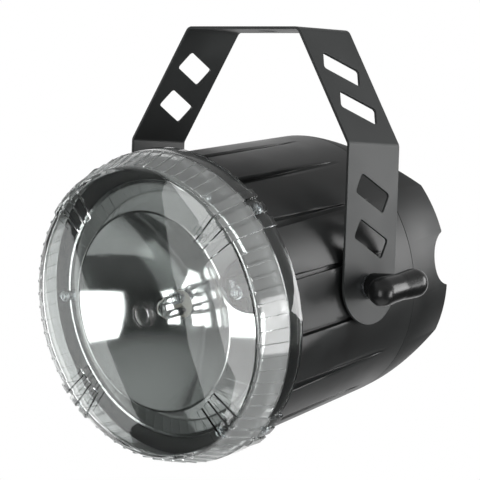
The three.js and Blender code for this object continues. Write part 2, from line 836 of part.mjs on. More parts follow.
// A low lip follows the edge of the round notch in the flange.
function notchCollar() {
  const outer = notchRadius + notchLip;
  const lowY = bowlRimY - notchLipHeight;
  const highY = flangeBackY + reflectorWall;
  const ring = cut(
    solid(roundBar(outer, lowY, highY, roundFacets)),
    solid(roundBar(notchRadius, lowY - overrun, highY + overrun, roundFacets)),
  );
  const place = toGeometry(ring).translate(edgeRadius, 0, 0);
  const follow = turned([
    [bowlRadius, bowlRimY - notchLipHeight],
    [flangeOuterRadius, flangeBackY - notchLipHeight],
    [flangeOuterRadius, flangeBackY + reflectorWall],
    [bowlRadius, bowlRimY + reflectorWall],
  ], ringFacets);
  return solid(swung(place, notchTurn)).intersect(solid(follow));
}

function reflector() {
  const notch = roundBar(notchRadius, bowlRimY - 2 * overrun, housingFrontY + 2 * overrun, roundFacets);
  const cutter = swung(notch.translate(edgeRadius, 0, 0), notchTurn);
  return cut(joined(solid(reflectorBody()), notchCollar()), solid(cutter));
}

piece(lamp, 'reflector', toGeometry(reflector()), 'mirror');

// The terminal in the notch: a ring tag with its crimped barrel, and its screw.
function ringTerminal() {
  const backY = terminalFaceY - gap;
  const frontY = backY - terminalThickness;
  const hole = screwShankRadius + gap;
  const ring = turned([
    [terminalRingRadius, frontY], [terminalRingRadius, backY], [hole, backY], [hole, frontY],
  ], smallFacets);
  const barrelY = backY - terminalBarrelRadius;
  const barrel = roundBar(terminalBarrelRadius, terminalRingRadius - terminalThickness, terminalBarrelLength);
  barrel.rotateX(Math.PI / 2).translate(0, barrelY, 0);
  return joined(solid(ring), solid(barrel));
}

const terminal = piece(lamp, 'ring_terminal', toGeometry(ringTerminal()), 'steel');
terminal.position.set(terminalCircle * Math.cos(terminalTurn), 0, terminalCircle * Math.sin(terminalTurn));

const terminalScrew = screwMesh('terminal_screw', screwLength);
const terminalScrewY = terminalFaceY - 2 * gap - terminalThickness;
terminalScrew.position.set(terminal.position.x, terminalScrewY, terminal.position.z);

// The tube holder sits in the reflector's apex hole, with a flange behind the bowl.
const bowlBackY = bowlPoints(0)[0][1] + reflectorWall;

function tubeHolder() {
  const flangeFrontY = bowlBackY + gap;
  const body = solid(turned([
    [0, holderNeckFrontY],
    [apexHoleRadius - gap, holderNeckFrontY],
    [apexHoleRadius - gap, flangeFrontY],
    [holderFlangeRadius, flangeFrontY],
    [holderFlangeRadius, flangeFrontY + holderFlangeThickness],
    [holderBodyRadius, flangeFrontY + holderFlangeThickness],
    [holderBodyRadius, holderBackY],
    [0, holderBackY],
  ]));
  const sockets = [-1, 1].map((sideSign) => {
    const socket = roundBar(tubeRadius + gap, holderNeckFrontY - overrun, holderNeckFrontY + tubeSocketDepth);
    return solid(socket.translate(0, 0, (sideSign * tubeSpacing) / 2));
  });
  return cut(body, ...sockets);
}

piece(lamp, 'tube_holder', toGeometry(tubeHolder()), 'ceramic');

// The U-shaped flash tube stands upright: two straight legs and a half-round bend at the front.
class HairpinCurve extends THREE.Curve {
  constructor(halfSpacing, rootY, bendY) {
    super();
    this.halfSpacing = halfSpacing;
    this.leg = rootY - bendY;
    this.rootY = rootY;
    this.bendY = bendY;
  }

  getPoint(share, target = new THREE.Vector3()) {
    const bendLength = Math.PI * this.halfSpacing;
    const distance = share * (2 * this.leg + bendLength);
    if (distance < this.leg) return target.set(0, this.rootY - distance, -this.halfSpacing);
    if (distance > this.leg + bendLength) {
      return target.set(0, this.bendY + distance - this.leg - bendLength, this.halfSpacing);
    }
    const turn = (distance - this.leg) / this.halfSpacing;
    const bulge = this.halfSpacing * Math.sin(turn);
    return target.set(0, this.bendY - bulge, -this.halfSpacing * Math.cos(turn));
  }
}

function flashTube() {
  const halfSpacing = tubeSpacing / 2;
  const rootY = holderNeckFrontY + tubeSocketDepth - gap;
  const bendY = tubeFrontY + tubeRadius + halfSpacing;
  const path = new HairpinCurve(halfSpacing, rootY, bendY);
  const section = outline(arc([0, 0], tubeRadius, 0, 2 * Math.PI, smallFacets).slice(0, -1));
  return new THREE.ExtrudeGeometry(section, { steps: tubeSteps, bevelEnabled: false, extrudePath: path });
}

piece(lamp, 'flash_tube', toGeometry(solid(flashTube())), 'glass');

// The trigger wire winds round one leg and runs straight back to the holder.
class TriggerCurve extends THREE.Curve {
  constructor(radius, frontY, backY) {
    super();
    this.radius = radius;
    this.frontY = frontY;
    this.windEndY = frontY + wireTurns * wirePitch;
    this.backY = backY;
    this.windLength = wireTurns * Math.hypot(2 * Math.PI * radius, wirePitch);
  }

  getPoint(share, target = new THREE.Vector3()) {
    const distance = share * (this.windLength + this.backY - this.windEndY);
    if (distance > this.windLength) {
      return target.set(this.radius, this.windEndY + distance - this.windLength, 0);
    }
    const windShare = distance / this.windLength;
    const turn = windShare * wireTurns * 2 * Math.PI;
    const y = this.frontY + windShare * wireTurns * wirePitch;
    return target.set(this.radius * Math.cos(turn), y, this.radius * Math.sin(turn));
  }
}

function triggerWire() {
  const windRadius = tubeRadius + gap + wireRadius;
  const path = new TriggerCurve(windRadius, wireFrontY, holderNeckFrontY - gap);
  const section = outline(arc([0, 0], wireRadius, 0, 2 * Math.PI, wireSides).slice(0, -1));
  const stepLength = path.windLength / (wireTurns * wireStepsPerTurn);
  const steps = Math.round(path.getLength() / stepLength);
  const leastGap = wirePitch - 2 * wireRadius;
  console.log(`trigger wire: least gap to itself ${leastGap.toFixed(2)} mm`);
  const wire = new THREE.ExtrudeGeometry(section, { steps, bevelEnabled: false, extrudePath: path });
  return wire.translate(0, 0, tubeSpacing / 2);
}

piece(lamp, 'trigger_wire', toGeometry(solid(triggerWire())), 'steel');

// The rear cover.
const rearPlateBackY = rearPlateY + rearPlateThickness;

function rearRadiusAt(y) {
  return seamRadius + ((y - seamY) * (rearEndRadius - seamRadius)) / (rearEndY - seamY);
}

function rearBody() {
  const seamFaceY = seamY + gap;
  const spigotRadius = seamRadius - shellWall - gap;
  const inner = spigotRadius - spigotWall;
  const wallAt = (y) => rearRadiusAt(y) - shellWall;
  return turned([
    [0, rearPlateY],
    [inner, rearPlateY],
    [inner, spigotFrontY],
    [spigotRadius, spigotFrontY],
    [spigotRadius, seamFaceY],
    [rearRadiusAt(seamFaceY), seamFaceY],
    [rearEndRadius, rearEndY],
    [wallAt(rearEndY), rearEndY],
    [wallAt(rearPlateBackY), rearPlateBackY],
    [0, rearPlateBackY],
  ], ringFacets);
}

// The rear cover slopes at 45 degrees from the seam to its rear edge, above and below.
function slopeHeight(y) {
  return rearHalfHeight + rearEndY - y;
}

// A prism that follows the slope, between two heights measured from its outer face.
function slopePrism(side, low, high, backY) {
  const frontY = seamY + gap;
  const shape = outline([
    [frontY, side * (slopeHeight(frontY) + low)], [backY, side * (slopeHeight(backY) + low)],
    [backY, side * (slopeHeight(backY) + high)], [frontY, side * (slopeHeight(frontY) + high)],
  ]);
  const width = 2 * seamRadius + overrun;
  const prism = slab(shape, width).rotateY(Math.PI / 2).rotateX(Math.PI / 2);
  return solid(prism.translate(-width / 2, 0, 0));
}

function slopedBody() {
  const seamFaceY = seamY + gap;
  const full = solid(turned([
    [0, seamFaceY], [rearRadiusAt(seamFaceY), seamFaceY], [rearEndRadius, rearEndY], [0, rearEndY],
  ], ringFacets));
  let body = solid(rearBody());
  for (const side of [1, -1]) {
    const wall = slopePrism(side, -slopeWall * Math.SQRT2, 0, rearEndY);
    body = body.subtract(slopePrism(side, 0, seamRadius, rearEndY + overrun)).add(full.intersect(wall));
  }
  return body;
}

// A bite is a round hole across the skirt's edge, with its mouth corners rounded off.
function biteCutter() {
  const centreY = rearEndY - biteDepth + biteRadius;
  const reachY = centreY - rearEndY;
  const sum = biteRadius + biteCornerRadius;
  const rise = reachY + biteCornerRadius;
  const corner = Math.sqrt(sum * sum - rise * rise);
  const meet = Math.atan2(rise, corner);
  const roundCentre = [corner, rearEndY - biteCornerRadius];
  const roundRight = arc(roundCentre, biteCornerRadius, Math.PI / 2, Math.PI - meet, bendSteps);
  const bottom = arc([0, centreY], biteRadius, -meet, -Math.PI + meet, 2 * bendSteps).slice(1, -1);
  const roundLeft = [...roundRight].reverse().map(([x, y]) => [-x, y]);
  const top = rearEndY + overrun;
  const shape = outline([[corner, top], ...roundRight, ...bottom, ...roundLeft, [-corner, top]]);
  const depth = rearEndRadius;
  return slab(shape, depth).rotateY(Math.PI / 2).translate(depth / 2, 0, 0);
}

function boardPosts() {
  const backY = rearPlateY + rearPlateThickness / 2;
  const postFrontY = boardBackY + gap;
  const bodies = [];
  for (const x of [-boardHoleX, boardHoleX]) {
    for (const z of [-boardHoleZ, boardHoleZ]) {
      const post = solid(roundBar(boardPostRadius, postFrontY, backY).translate(x, 0, z));
      const boreDepth = postFrontY + boardScrewLength;
      const bore = roundBar(screwShankRadius + gap, postFrontY - overrun, boreDepth).translate(x, 0, z);
      bodies.push({ post, bore: solid(bore) });
    }
  }
  return bodies;
}

function plateHole(radius, [x, z], facets = roundFacets) {
  const hole = roundBar(radius, rearPlateY - overrun, rearPlateBackY + overrun, facets);
  return solid(hole.translate(x, 0, z));
}

function rearCover() {
  let cover = slopedBody();
  for (let i = 0; i < biteCount; i += 1) {
    cover = cover.subtract(solid(swung(biteCutter(), (i / biteCount) * 2 * Math.PI)));
  }
  for (const { post, bore } of boardPosts()) {
    cover = cover.add(post).subtract(bore);
  }
  for (const turn of rearScrewTurns) {
    const hole = roundBar(screwShankRadius + gap, rearPlateY - overrun, rearPlateBackY + overrun);
    cover = cover.subtract(solid(swung(hole.translate(rearScrewCircle, 0, 0), turn)));
  }
  for (let i = 0; i < ventCount; i += 1) {
    const x = (i - (ventCount - 1) / 2) * ventPitch;
    const shape = roundedRectangle(ventWidth, ventHeight, ventWidth / 2);
    const vent = slab(shape, rearPlateThickness + 2 * overrun);
    vent.rotateX(-Math.PI / 2).translate(x, rearPlateY - overrun, ventCentreZ);
    cover = cover.subtract(solid(vent));
  }
  return cut(
    cover,
    plateHole(bushRadius + gap, ratePlace),
    plateHole(fuseBodyRadius + gap, fusePlace),
    plateHole(glandThreadRadius + gap, glandPlace),
  );
}

piece(lamp, 'rear_cover', toGeometry(rearCover()), 'mouldedBlack');

rearScrewTurns.forEach((turn, i) => {
  const mesh = screwMesh(`rear_screw_${i + 1}`, rearScrewLength);
  mesh.rotation.x = Math.PI;
  const x = rearScrewCircle * Math.cos(turn);
  mesh.position.set(x, rearPlateBackY + gap, rearScrewCircle * Math.sin(turn));
});

// Pivot hardware, the same on both sides.
const frictionWasherInner = pivotPadFace + gap;
const frictionWasherOuter = frictionWasherInner + frictionWasherThickness;
const steelWasherInner = yokeHalfSpan + gap;
const knobFootX = steelWasherInner + steelWasherThickness + gap;
const knobBarX = yokeHalfSpan + knobBarOffset;

function washer(radius, hole, low, high, facets = smallFacets) {
  return turned([[radius, low], [radius, high], [hole, high], [hole, low]], facets);
}

// The knob: a waisted bar across the top of a round stem.
function knobBody() {
  const half = knobBarLength / 2;
  const shoulder = half - knobEndRadius;
  const rear = arc([0, shoulder], knobEndRadius, 0, Math.PI / 2, bendSteps + 1);
  const front = arc([0, -shoulder], knobEndRadius, -Math.PI / 2, 0, bendSteps + 1);
  front[0][0] = 0;
  rear[rear.length - 1][0] = 0;
  const bar = turned([...front, [knobWaistRadius, 0], ...rear], roundFacets);
  bar.translate(knobBarX, 0, 0);
  const stem = turned([
    [0, knobFootX], [knobStemRadius, knobFootX], [knobStemRadius, knobBarX], [0, knobBarX],
  ], roundFacets);
  const bore = roundBar(studRadius + gap, knobFootX - overrun, knobBarX - knobWaistRadius / 2);
  return cut(
    joined(solid(bar), solid(stem.rotateZ(-Math.PI / 2))),
    solid(bore.rotateZ(-Math.PI / 2)),
  );
}

const knobGeometry = toGeometry(knobBody());
const studOuterX = knobBarX - knobWaistRadius / 2 - gap;
const insertOuterX = pivotPadFace - gap;

for (const [side, sideSign] of [['right', 1], ['left', -1]]) {
  const place = (name, geometry, finish) => {
    const mesh = piece(lamp, name, geometry, finish);
    mesh.rotation.z = sideSign > 0 ? 0 : Math.PI;
    return mesh;
  };
  const along = (geometry) => toGeometry(solid(geometry.rotateZ(-Math.PI / 2)));
  const insert = washer(insertRadius, studRadius + gap, insertInnerX, insertOuterX);
  place(`pivot_insert_${side}`, along(insert), 'brass');
  const friction = washer(frictionWasherRadius, studRadius + gap, frictionWasherInner, frictionWasherOuter);
  place(`friction_washer_${side}`, along(friction), 'rubber');
  const steelOuter = steelWasherInner + steelWasherThickness;
  const steel = washer(steelWasherRadius, studRadius + gap, steelWasherInner, steelOuter, roundFacets);
  place(`steel_washer_${side}`, along(steel), 'steel');
  place(`clamp_stud_${side}`, along(roundBar(studRadius, studInnerX, studOuterX)), 'steel');
  const knob = place(`clamp_knob_${side}`, knobGeometry.clone(), 'knobBlack');
  knob.rotation.x = sideSign > 0 ? knobTurn : -knobTurn;
}

// The circuit board with its holes, held on the rear cover's four posts.
function circuitBoard() {
  let board = solid(block(
    [-boardWidth / 2, boardFrontY, -boardHeight / 2],
    [boardWidth / 2, boardBackY, boardHeight / 2],
  ));
  for (const x of [-boardHoleX, boardHoleX]) {
    for (const z of [-boardHoleZ, boardHoleZ]) {
      const hole = roundBar(screwShankRadius + gap, boardFrontY - overrun, boardBackY + overrun);
      board = board.subtract(solid(hole.translate(x, 0, z)));
    }
  }
  return board;
}

piece(lamp, 'circuit_board', toGeometry(circuitBoard()), 'board');

let boardScrewNumber = 1;
for (const x of [-boardHoleX, boardHoleX]) {
  for (const z of [-boardHoleZ, boardHoleZ]) {
    const mesh = screwMesh(`board_screw_${boardScrewNumber}`, boardScrewLength);
    mesh.position.set(x, boardFrontY - gap, z);
    boardScrewNumber += 1;
  }
}

// Storage capacitors stand on the board's front face.
function capacitor() {
  const rootY = boardFrontY - gap;
  const frontY = rootY - capacitorLength;
  const neckY = rootY - 3 * capacitorRimRadius;
  const neck = capacitorRadius - capacitorRimRadius / 2;
  return turned([
    [0, frontY],
    [capacitorRadius - capacitorRimRadius, frontY],
    [capacitorRadius, frontY + capacitorRimRadius],
    [capacitorRadius, neckY - capacitorRimRadius],
    [neck, neckY],
    [capacitorRadius, neckY + capacitorRimRadius],
    [capacitorRadius, rootY],
    [0, rootY],
  ], roundFacets);
}

[-1, 1].forEach((sideSign, i) => {
  const mesh = piece(lamp, `storage_capacitor_${i + 1}`, toGeometry(solid(capacitor())), 'sleeve');
  mesh.position.set(sideSign * capacitorX, 0, capacitorZ);
});

// A boxed component on the board: [width, depth from the board, height].
function boxedComponent([width, depth, height]) {
  const shape = roundedRectangle(width, height, edgeBevel);
  return slab(shape, depth).rotateX(Math.PI / 2);
}

function boxedPiece(name, size, [x, z], finish) {
  const mesh = piece(lamp, name, toGeometry(solid(boxedComponent(size))), finish);
  mesh.position.set(x, boardFrontY - gap, z);
}

boxedPiece('trigger_transformer', transformerSize, transformerPlace, 'sleeve');
boxedPiece('ballast_resistor', resistorSize, resistorPlace, 'ceramic');
boxedPiece('terminal_block', terminalBlockSize, terminalBlockPlace, 'ceramic');

// The flash-rate control: potentiometer inside, nut and knob outside.
const bushBackY = rearPlateBackY + gap + nutThickness + bushStand / 2;
const potBackY = rearPlateY - gap;
const rateKnobFrontY = rearPlateBackY + bushStand + nutThickness;

function potentiometer() {
  const body = solid(turned([
    [0, potBackY - potDepth],
    [potRadius, potBackY - potDepth],
    [potRadius, potBackY],
    [bushRadius, potBackY],
    [bushRadius, bushBackY],
    [0, bushBackY],
  ]));
  const bore = roundBar(shaftRadius + gap, potBackY - shaftDepth, bushBackY + overrun);
  return body.subtract(solid(bore));
}

function hexNut(radius, hole, thickness) {
  const hex = solid(roundBar(radius, 0, thickness, hexFacets));
  return hex.subtract(solid(roundBar(hole, -overrun, thickness + overrun, smallFacets)));
}

function rateShaft() {
  const endY = rateKnobFrontY + rateKnobHeight - 2 * rateKnobGrip;
  return roundBar(shaftRadius, potBackY - shaftDepth + gap, endY - gap);
}

function rateKnob() {
  const endY = rateKnobFrontY + rateKnobHeight;
  const crown = rateKnobRadius - rateKnobGrip;
  let knob = solid(turned([
    [0, rateKnobFrontY],
    [rateKnobRadius, rateKnobFrontY],
    [rateKnobRadius, rateKnobFrontY + rateKnobGrip],
    [crown, endY - rateKnobGrip],
    [crown - rateKnobGrip, endY],
    [0, endY],
  ]));
  for (let i = 0; i < rateKnobFlutes; i += 1) {
    const flute = roundBar(rateKnobGrip, rateKnobFrontY + rateKnobGrip, endY + overrun, hexFacets);
    const turn = ((i + 0.5) / rateKnobFlutes) * 2 * Math.PI;
    knob = knob.subtract(solid(swung(flute.translate(rateKnobRadius, 0, 0), turn)));
  }
  const half = pointerWidth / 2;
  const pointerTip = [half, endY + overrun, rateKnobRadius + overrun];
  const pointer = block([-half, endY - pointerWidth / 2, 0], pointerTip);
  const bore = roundBar(shaftRadius + gap, rateKnobFrontY - overrun, endY - 2 * rateKnobGrip);
  return cut(knob, solid(pointer), solid(bore));
}

function controlPiece(name, body, finish, [x, z], y = 0) {
  const mesh = piece(lamp, name, toGeometry(body), finish);
  mesh.position.set(x, y, z);
  return mesh;
}

controlPiece('rate_potentiometer', potentiometer(), 'steel', ratePlace);
const potNut = hexNut(nutRadius, bushRadius + gap, nutThickness);
controlPiece('potentiometer_nut', potNut, 'steel', ratePlace, rearPlateBackY + gap);
controlPiece('rate_shaft', solid(rateShaft()), 'steel', ratePlace);
controlPiece('rate_knob', rateKnob(), 'knobBlack', ratePlace);

// The fuse holder: a tube with a flange outside the plate, the fuse inside and a turned cap.
const fuseFlangeY = rearPlateBackY + gap;
const fuseFaceY = fuseFlangeY + fuseFlangeThickness;

function fuseHolder() {
  const bodyFrontY = rearPlateY - fuseBodyDepth;
  const body = solid(turned([
    [0, bodyFrontY],
    [fuseBodyRadius, bodyFrontY],
    [fuseBodyRadius, fuseFlangeY],
    [fuseFlangeRadius, fuseFlangeY],
    [fuseFlangeRadius, fuseFaceY],
    [0, fuseFaceY],
  ], smallFacets));
  const bore = roundBar(fuseBoreRadius, bodyFrontY + fuseFlangeThickness, fuseFaceY + overrun);
  return body.subtract(solid(bore));
}

function fuseLink() {
  const rootY = rearPlateY - fuseBodyDepth + fuseFlangeThickness + gap;
  return roundBar(fuseRadius, rootY, rootY + fuseLength);
}

function fuseCap() {
  const rootY = fuseFaceY + gap;
  const endY = rootY + fuseCapHeight;
  const plugEndY = rearPlateY - fuseBodyDepth + fuseFlangeThickness + fuseLength + 2 * gap;
  const cap = solid(turned([
    [0, plugEndY],
    [fuseBoreRadius - gap, plugEndY],
    [fuseBoreRadius - gap, rootY],
    [fuseCapRadius, rootY],
    [fuseCapRadius, endY - edgeBevel],
    [fuseCapRadius - edgeBevel, endY],
    [0, endY],
  ], smallFacets));
  const half = fuseCapSlotWidth / 2;
  const reach = fuseCapRadius + overrun;
  const slot = block([-reach, endY - fuseCapSlotDepth, -half], [reach, endY + overrun, half]);
  return cap.subtract(solid(slot));
}

controlPiece('fuse_holder', fuseHolder(), 'knobBlack', fusePlace);
controlPiece('fuse_link', solid(fuseLink()), 'glass', fusePlace);
controlPiece('fuse_cap', fuseCap(), 'knobBlack', fusePlace);

// The mains cable gland: a hexagon body with a domed nut, and a lock nut inside.
function glandBody() {
  const hexFrontY = rearPlateBackY + gap;
  const hexBackY = hexFrontY + glandHexHeight;
  const threadFrontY = rearPlateY - glandInnerDepth;
  const hex = solid(roundBar(glandHexRadius, hexFrontY, hexBackY, hexFacets));
  const thread = solid(roundBar(glandThreadRadius, threadFrontY, hexBackY));
  const bore = roundBar(glandBoreRadius, threadFrontY - overrun, hexBackY + overrun);
  return cut(joined(hex, thread), solid(bore));
}

function glandDome() {
  const rootY = rearPlateBackY + glandHexHeight + 2 * gap;
  const endY = rootY + glandDomeHeight;
  const shoulderY = rootY + glandDomeHeight / 2;
  return solid(turned([
    [glandBoreRadius, rootY],
    [glandDomeRadius, rootY],
    [glandDomeRadius, shoulderY],
    ...arc([glandBoreRadius, shoulderY], glandDomeRadius - glandBoreRadius, 0, Math.PI / 2, bendSteps)
      .slice(1)
      .map(([radius, y]) => [Math.max(radius, glandBoreRadius + gap), Math.min(y, endY)]),
    [glandBoreRadius, Math.min(shoulderY + glandDomeRadius - glandBoreRadius, endY)],
  ], smallFacets));
}

controlPiece('cable_gland', glandBody(), 'knobBlack', glandPlace);
controlPiece('gland_dome_nut', glandDome(), 'knobBlack', glandPlace);
const lockNut = hexNut(lockNutRadius, glandThreadRadius + gap, lockNutThickness);
controlPiece('gland_lock_nut', lockNut, 'knobBlack', glandPlace, rearPlateY - gap - lockNutThickness);

export default light;
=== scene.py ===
# %% [markdown]
# # A hanging strobe light
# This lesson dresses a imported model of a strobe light: a black lamp with a clear ribbed cover,
# a bright bowl and a slotted steel yoke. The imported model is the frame. It fixes every size and
# every joint, so each piece made here is put exactly where its solid is.

import json
import math

import bmesh
import bpy
from mathutils import Matrix, Quaternion, Vector


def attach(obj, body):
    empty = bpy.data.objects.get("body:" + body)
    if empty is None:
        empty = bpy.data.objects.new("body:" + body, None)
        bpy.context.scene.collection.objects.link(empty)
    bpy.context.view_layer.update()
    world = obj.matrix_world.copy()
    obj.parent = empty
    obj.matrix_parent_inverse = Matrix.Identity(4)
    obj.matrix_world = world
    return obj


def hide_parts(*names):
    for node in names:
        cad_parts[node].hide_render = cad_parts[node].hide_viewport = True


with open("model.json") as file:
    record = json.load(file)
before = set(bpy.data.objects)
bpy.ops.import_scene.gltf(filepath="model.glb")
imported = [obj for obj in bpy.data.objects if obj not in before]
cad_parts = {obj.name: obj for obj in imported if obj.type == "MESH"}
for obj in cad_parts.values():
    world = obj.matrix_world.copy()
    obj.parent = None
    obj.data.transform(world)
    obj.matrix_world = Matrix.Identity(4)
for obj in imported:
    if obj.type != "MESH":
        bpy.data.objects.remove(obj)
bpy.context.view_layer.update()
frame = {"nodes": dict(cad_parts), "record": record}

# %% [markdown]
# The lamp's own axis runs along Y, with the front towards -Y. The lamp is tipped 12.1 degrees
# down about the pivot axis, 133 mm under the hanging hole. Working in the lamp's own frame keeps
# the numbers plain: a piece is made straight, and one matrix puts its mesh in place.

# %% The lamp's place
MM = 0.001
PIVOT_DROP = 133.0 * MM
LAMP_TILT = math.radians(12.1)
LAMP = Matrix.Translation((0, 0, -PIVOT_DROP)) @ Matrix.Rotation(LAMP_TILT, 4, "X")
print("lamp axis points", tuple(round(v, 3) for v in LAMP.to_3x3() @ Vector((0, -1, 0))))

# %% [markdown]
# A few things are done again and again: putting an object in the scene, turning a bmesh into
# mesh data, and picking the points, edges or faces out of what an operator made.

# %% Small helpers
def linked(name, data):
    """A new object with this data, put in the scene."""
    obj = bpy.data.objects.new(name, data)
    bpy.context.scene.collection.objects.link(obj)
    return obj


def as_mesh(bm, name):
    """Turns a bmesh into mesh data and lets go of it."""
    mesh = bpy.data.meshes.new(name)
    bm.to_mesh(mesh)
    bm.free()
    return mesh


def points_of(geom):
    return [g for g in geom if isinstance(g, bmesh.types.BMVert)]


def faces_of(geom):
    return [g for g in geom if isinstance(g, bmesh.types.BMFace)]


def pushed(bm, faces, offset):
    """Extrudes faces and moves the new ones by an offset in millimetres."""
    made = bmesh.ops.extrude_face_region(bm, geom=faces)["geom"]
    bmesh.ops.translate(bm, verts=points_of(made), vec=[v * MM for v in offset])
    return made


def edges_of(geom):
    return [g for g in geom if isinstance(g, bmesh.types.BMEdge)]


print("small helpers ready")

# %% [markdown]
# The camera was fitted to the photograph: 42 degrees round from the front, level, with a long
# lens 2.6 m away, and turned 2.1 degrees, so the lamp hangs a little crooked in the picture.

# %% The camera
def fitted_camera(azimuth, elevation, roll, offset, focal_px, image_px):
    a, e, r = (math.radians(v) for v in (azimuth, elevation, roll))
    back = Vector((math.sin(a) * math.cos(e), -math.cos(a) * math.cos(e), math.sin(e)))
    right = (-back).cross(Vector((0, 0, 1))).normalized()
    up = right.cross(-back)
    right, up = (
        math.cos(r) * right + math.sin(r) * up,
        math.cos(r) * up - math.sin(r) * right,
    )
    place = -(offset[0] * right - offset[1] * up - offset[2] * back)
    camera = linked("camera", bpy.data.cameras.new("camera"))
    turn = Matrix((right, up, back)).transposed().to_4x4()
    camera.matrix_world = Matrix.Translation(place - Vector((0, 0, PIVOT_DROP))) @ turn
    camera.data.sensor_width = 36.0
    camera.data.lens = focal_px / image_px * 36.0
    return camera


camera = fitted_camera(
    azimuth=42.064, elevation=0.133, roll=2.097,
    offset=(9.881 * MM, 21.592 * MM, 2630.8 * MM), focal_px=5002.8, image_px=480,
)
bpy.context.scene.camera = camera
print("camera at", tuple(round(v, 3) for v in camera.location), "lens", round(camera.data.lens, 1))

# %% [markdown]
# ## Helpers
# A turned shape is drawn as half its outline and spun about the lamp's axis. Moulded and pressed
# pieces have no knife edges, so each corner of an outline may carry its own rounding.

# %% Outlines with rounded corners
def rounded(points, steps=4):
    """Points are (radius, y) or (radius, y, rounding), in millimetres."""
    line = []
    for i, point in enumerate(points):
        here = Vector(point[:2])
        fillet = point[2] if len(point) > 2 else 0.0
        if not fillet or i in (0, len(points) - 1):
            line.append(here)
            continue
        back = (Vector(points[i - 1][:2]) - here).normalized()
        ahead = (Vector(points[i + 1][:2]) - here).normalized()
        half = back.angle(ahead) / 2
        reach = fillet / math.tan(half)
        centre = here + (back + ahead).normalized() * (fillet / math.sin(half))
        start, end = here + back * reach - centre, here + ahead * reach - centre
        sweep = start.angle_signed(end)
        for k in range(steps + 1):
            turn = Matrix.Rotation(-sweep * k / steps, 2)
            line.append(centre + turn @ start)
    return line


def spun(points, segments=192, closed=True, steps=4):
    """A turned body about the Y axis from a closed outline."""
    line = rounded(points, steps)
    bm = bmesh.new()
    verts = [bm.verts.new((p.x * MM, p.y * MM, 0)) for p in line]
    for a, b in zip(verts, verts[1:]):
        bm.edges.new((a, b))
    if closed and line[0].x > 1e-6:
        bm.edges.new((verts[-1], verts[0]))
    bmesh.ops.spin(
        bm, geom=bm.verts[:] + bm.edges[:], cent=(0, 0, 0), axis=(0, 1, 0),
        angle=2 * math.pi, steps=segments, use_merge=True,
    )
    bmesh.ops.remove_doubles(bm, verts=bm.verts[:], dist=1e-6)
    bmesh.ops.recalc_face_normals(bm, faces=bm.faces[:])
    return bm


print("a rounded square corner has", len(rounded([(0, 0), (5, 0, 1), (5, 5)])), "points")

# %% [markdown]
# Every finished piece sits at the origin with its place in its mesh. It rides on the body that
# its solid belongs to and stands for that solid. Smooth shading would smear the light over
# sharp corners, so edges that turn by more than 35 degrees are marked sharp.

# %% Finish a piece
def finished(name, bm, body, material, stands_for=(), place=LAMP, sharp=35):
    for face in bm.faces:
        face.smooth = True
    for edge in bm.edges:
        if len(edge.link_faces) == 2 and edge.calc_face_angle(0) > math.radians(sharp):
            edge.smooth = False
    mesh = as_mesh(bm, name)
    mesh.transform(place)
    mesh.materials.append(material)
    piece = linked(name, mesh)
    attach(piece, body)
    if stands_for:
        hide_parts(*stands_for)
    print(name, len(mesh.polygons), "faces")
    return piece


def combined(bm, operation, *tools_bm):
    """A closed body after an exact boolean step with each of the other closed bodies.

    All faces are cut into triangles first, because the exact step needs flat faces."""
    def holder(part, name):
        bmesh.ops.triangulate(part, faces=part.faces[:])
        return linked(name, as_mesh(part, name))

    body = holder(bm, "carving")
    tools = [holder(tool, "tool") for tool in tools_bm]
    for tool in tools:
        step = body.modifiers.new("step", "BOOLEAN")
        step.operation, step.solver, step.object = operation, "EXACT", tool
    graph = bpy.context.evaluated_depsgraph_get()
    result = bmesh.new()
    result.from_mesh(body.evaluated_get(graph).to_mesh())
    for obj in [body, *tools]:
        bpy.data.objects.remove(obj)
    return result


def carved(bm, *cutters):
    return combined(bm, "DIFFERENCE", *cutters)


def mended(bm):
    """Closes the pinholes that a boolean step can leave, and turns the faces outwards."""
    bmesh.ops.remove_doubles(bm, verts=bm.verts[:], dist=2e-6)
    open_edges = [e for e in bm.edges if e.is_boundary]
    if open_edges:
        bmesh.ops.holes_fill(bm, edges=open_edges, sides=0)
    bmesh.ops.recalc_face_normals(bm, faces=bm.faces[:])
    if bm.calc_volume(signed=True) < 0:
        bmesh.ops.reverse_faces(bm, faces=bm.faces[:])
    return bm


def only_end_caps(bm, sides, ends):
    """Takes out the faces that a sweep leaves inside: the many-sided ones that aren't ends."""
    inner = [
        f for f in bm.faces
        if len(f.verts) == sides and all((f.calc_center_median() - e).length > 1e-5 for e in ends)
    ]
    bmesh.ops.delete(bm, geom=inner, context="FACES_ONLY")
    return mended(bm)


def joined(*parts):
    """Several closed bodies that only touch, in one mesh."""
    result = bmesh.new()
    for part in parts:
        mesh = as_mesh(part, "part")
        result.from_mesh(mesh)
        bpy.data.meshes.remove(mesh)
    return result


def moved(bm, matrix):
    bmesh.ops.transform(bm, matrix=matrix, verts=bm.verts[:])
    return bm


def shift(x, y, z):
    return Matrix.Translation((x * MM, y * MM, z * MM))


def swing(turn):
    """A turn about the lamp's axis that takes the right side up by an angle in degrees."""
    return Matrix.Rotation(-math.radians(turn), 4, "Y")


def bar_along(radius, start_y, end_y, place=(0, 0), segments=32, fillet=0.2):
    """A turned bar along Y with rounded ends, moved off the axis."""
    bm = spun([
        (0, start_y), (radius, start_y, fillet), (radius, end_y, fillet), (0, end_y)
    ], segments)
    return moved(bm, shift(place[0], 0, place[1]))


def box(low, high):
    bm = bmesh.new()
    bmesh.ops.create_cube(bm, size=1.0)
    size = [b - a for a, b in zip(low, high)]
    middle = [(a + b) / 2 for a, b in zip(low, high)]
    return moved(bm, shift(*middle) @ Matrix.Diagonal((*[v * MM for v in size], 1.0)))


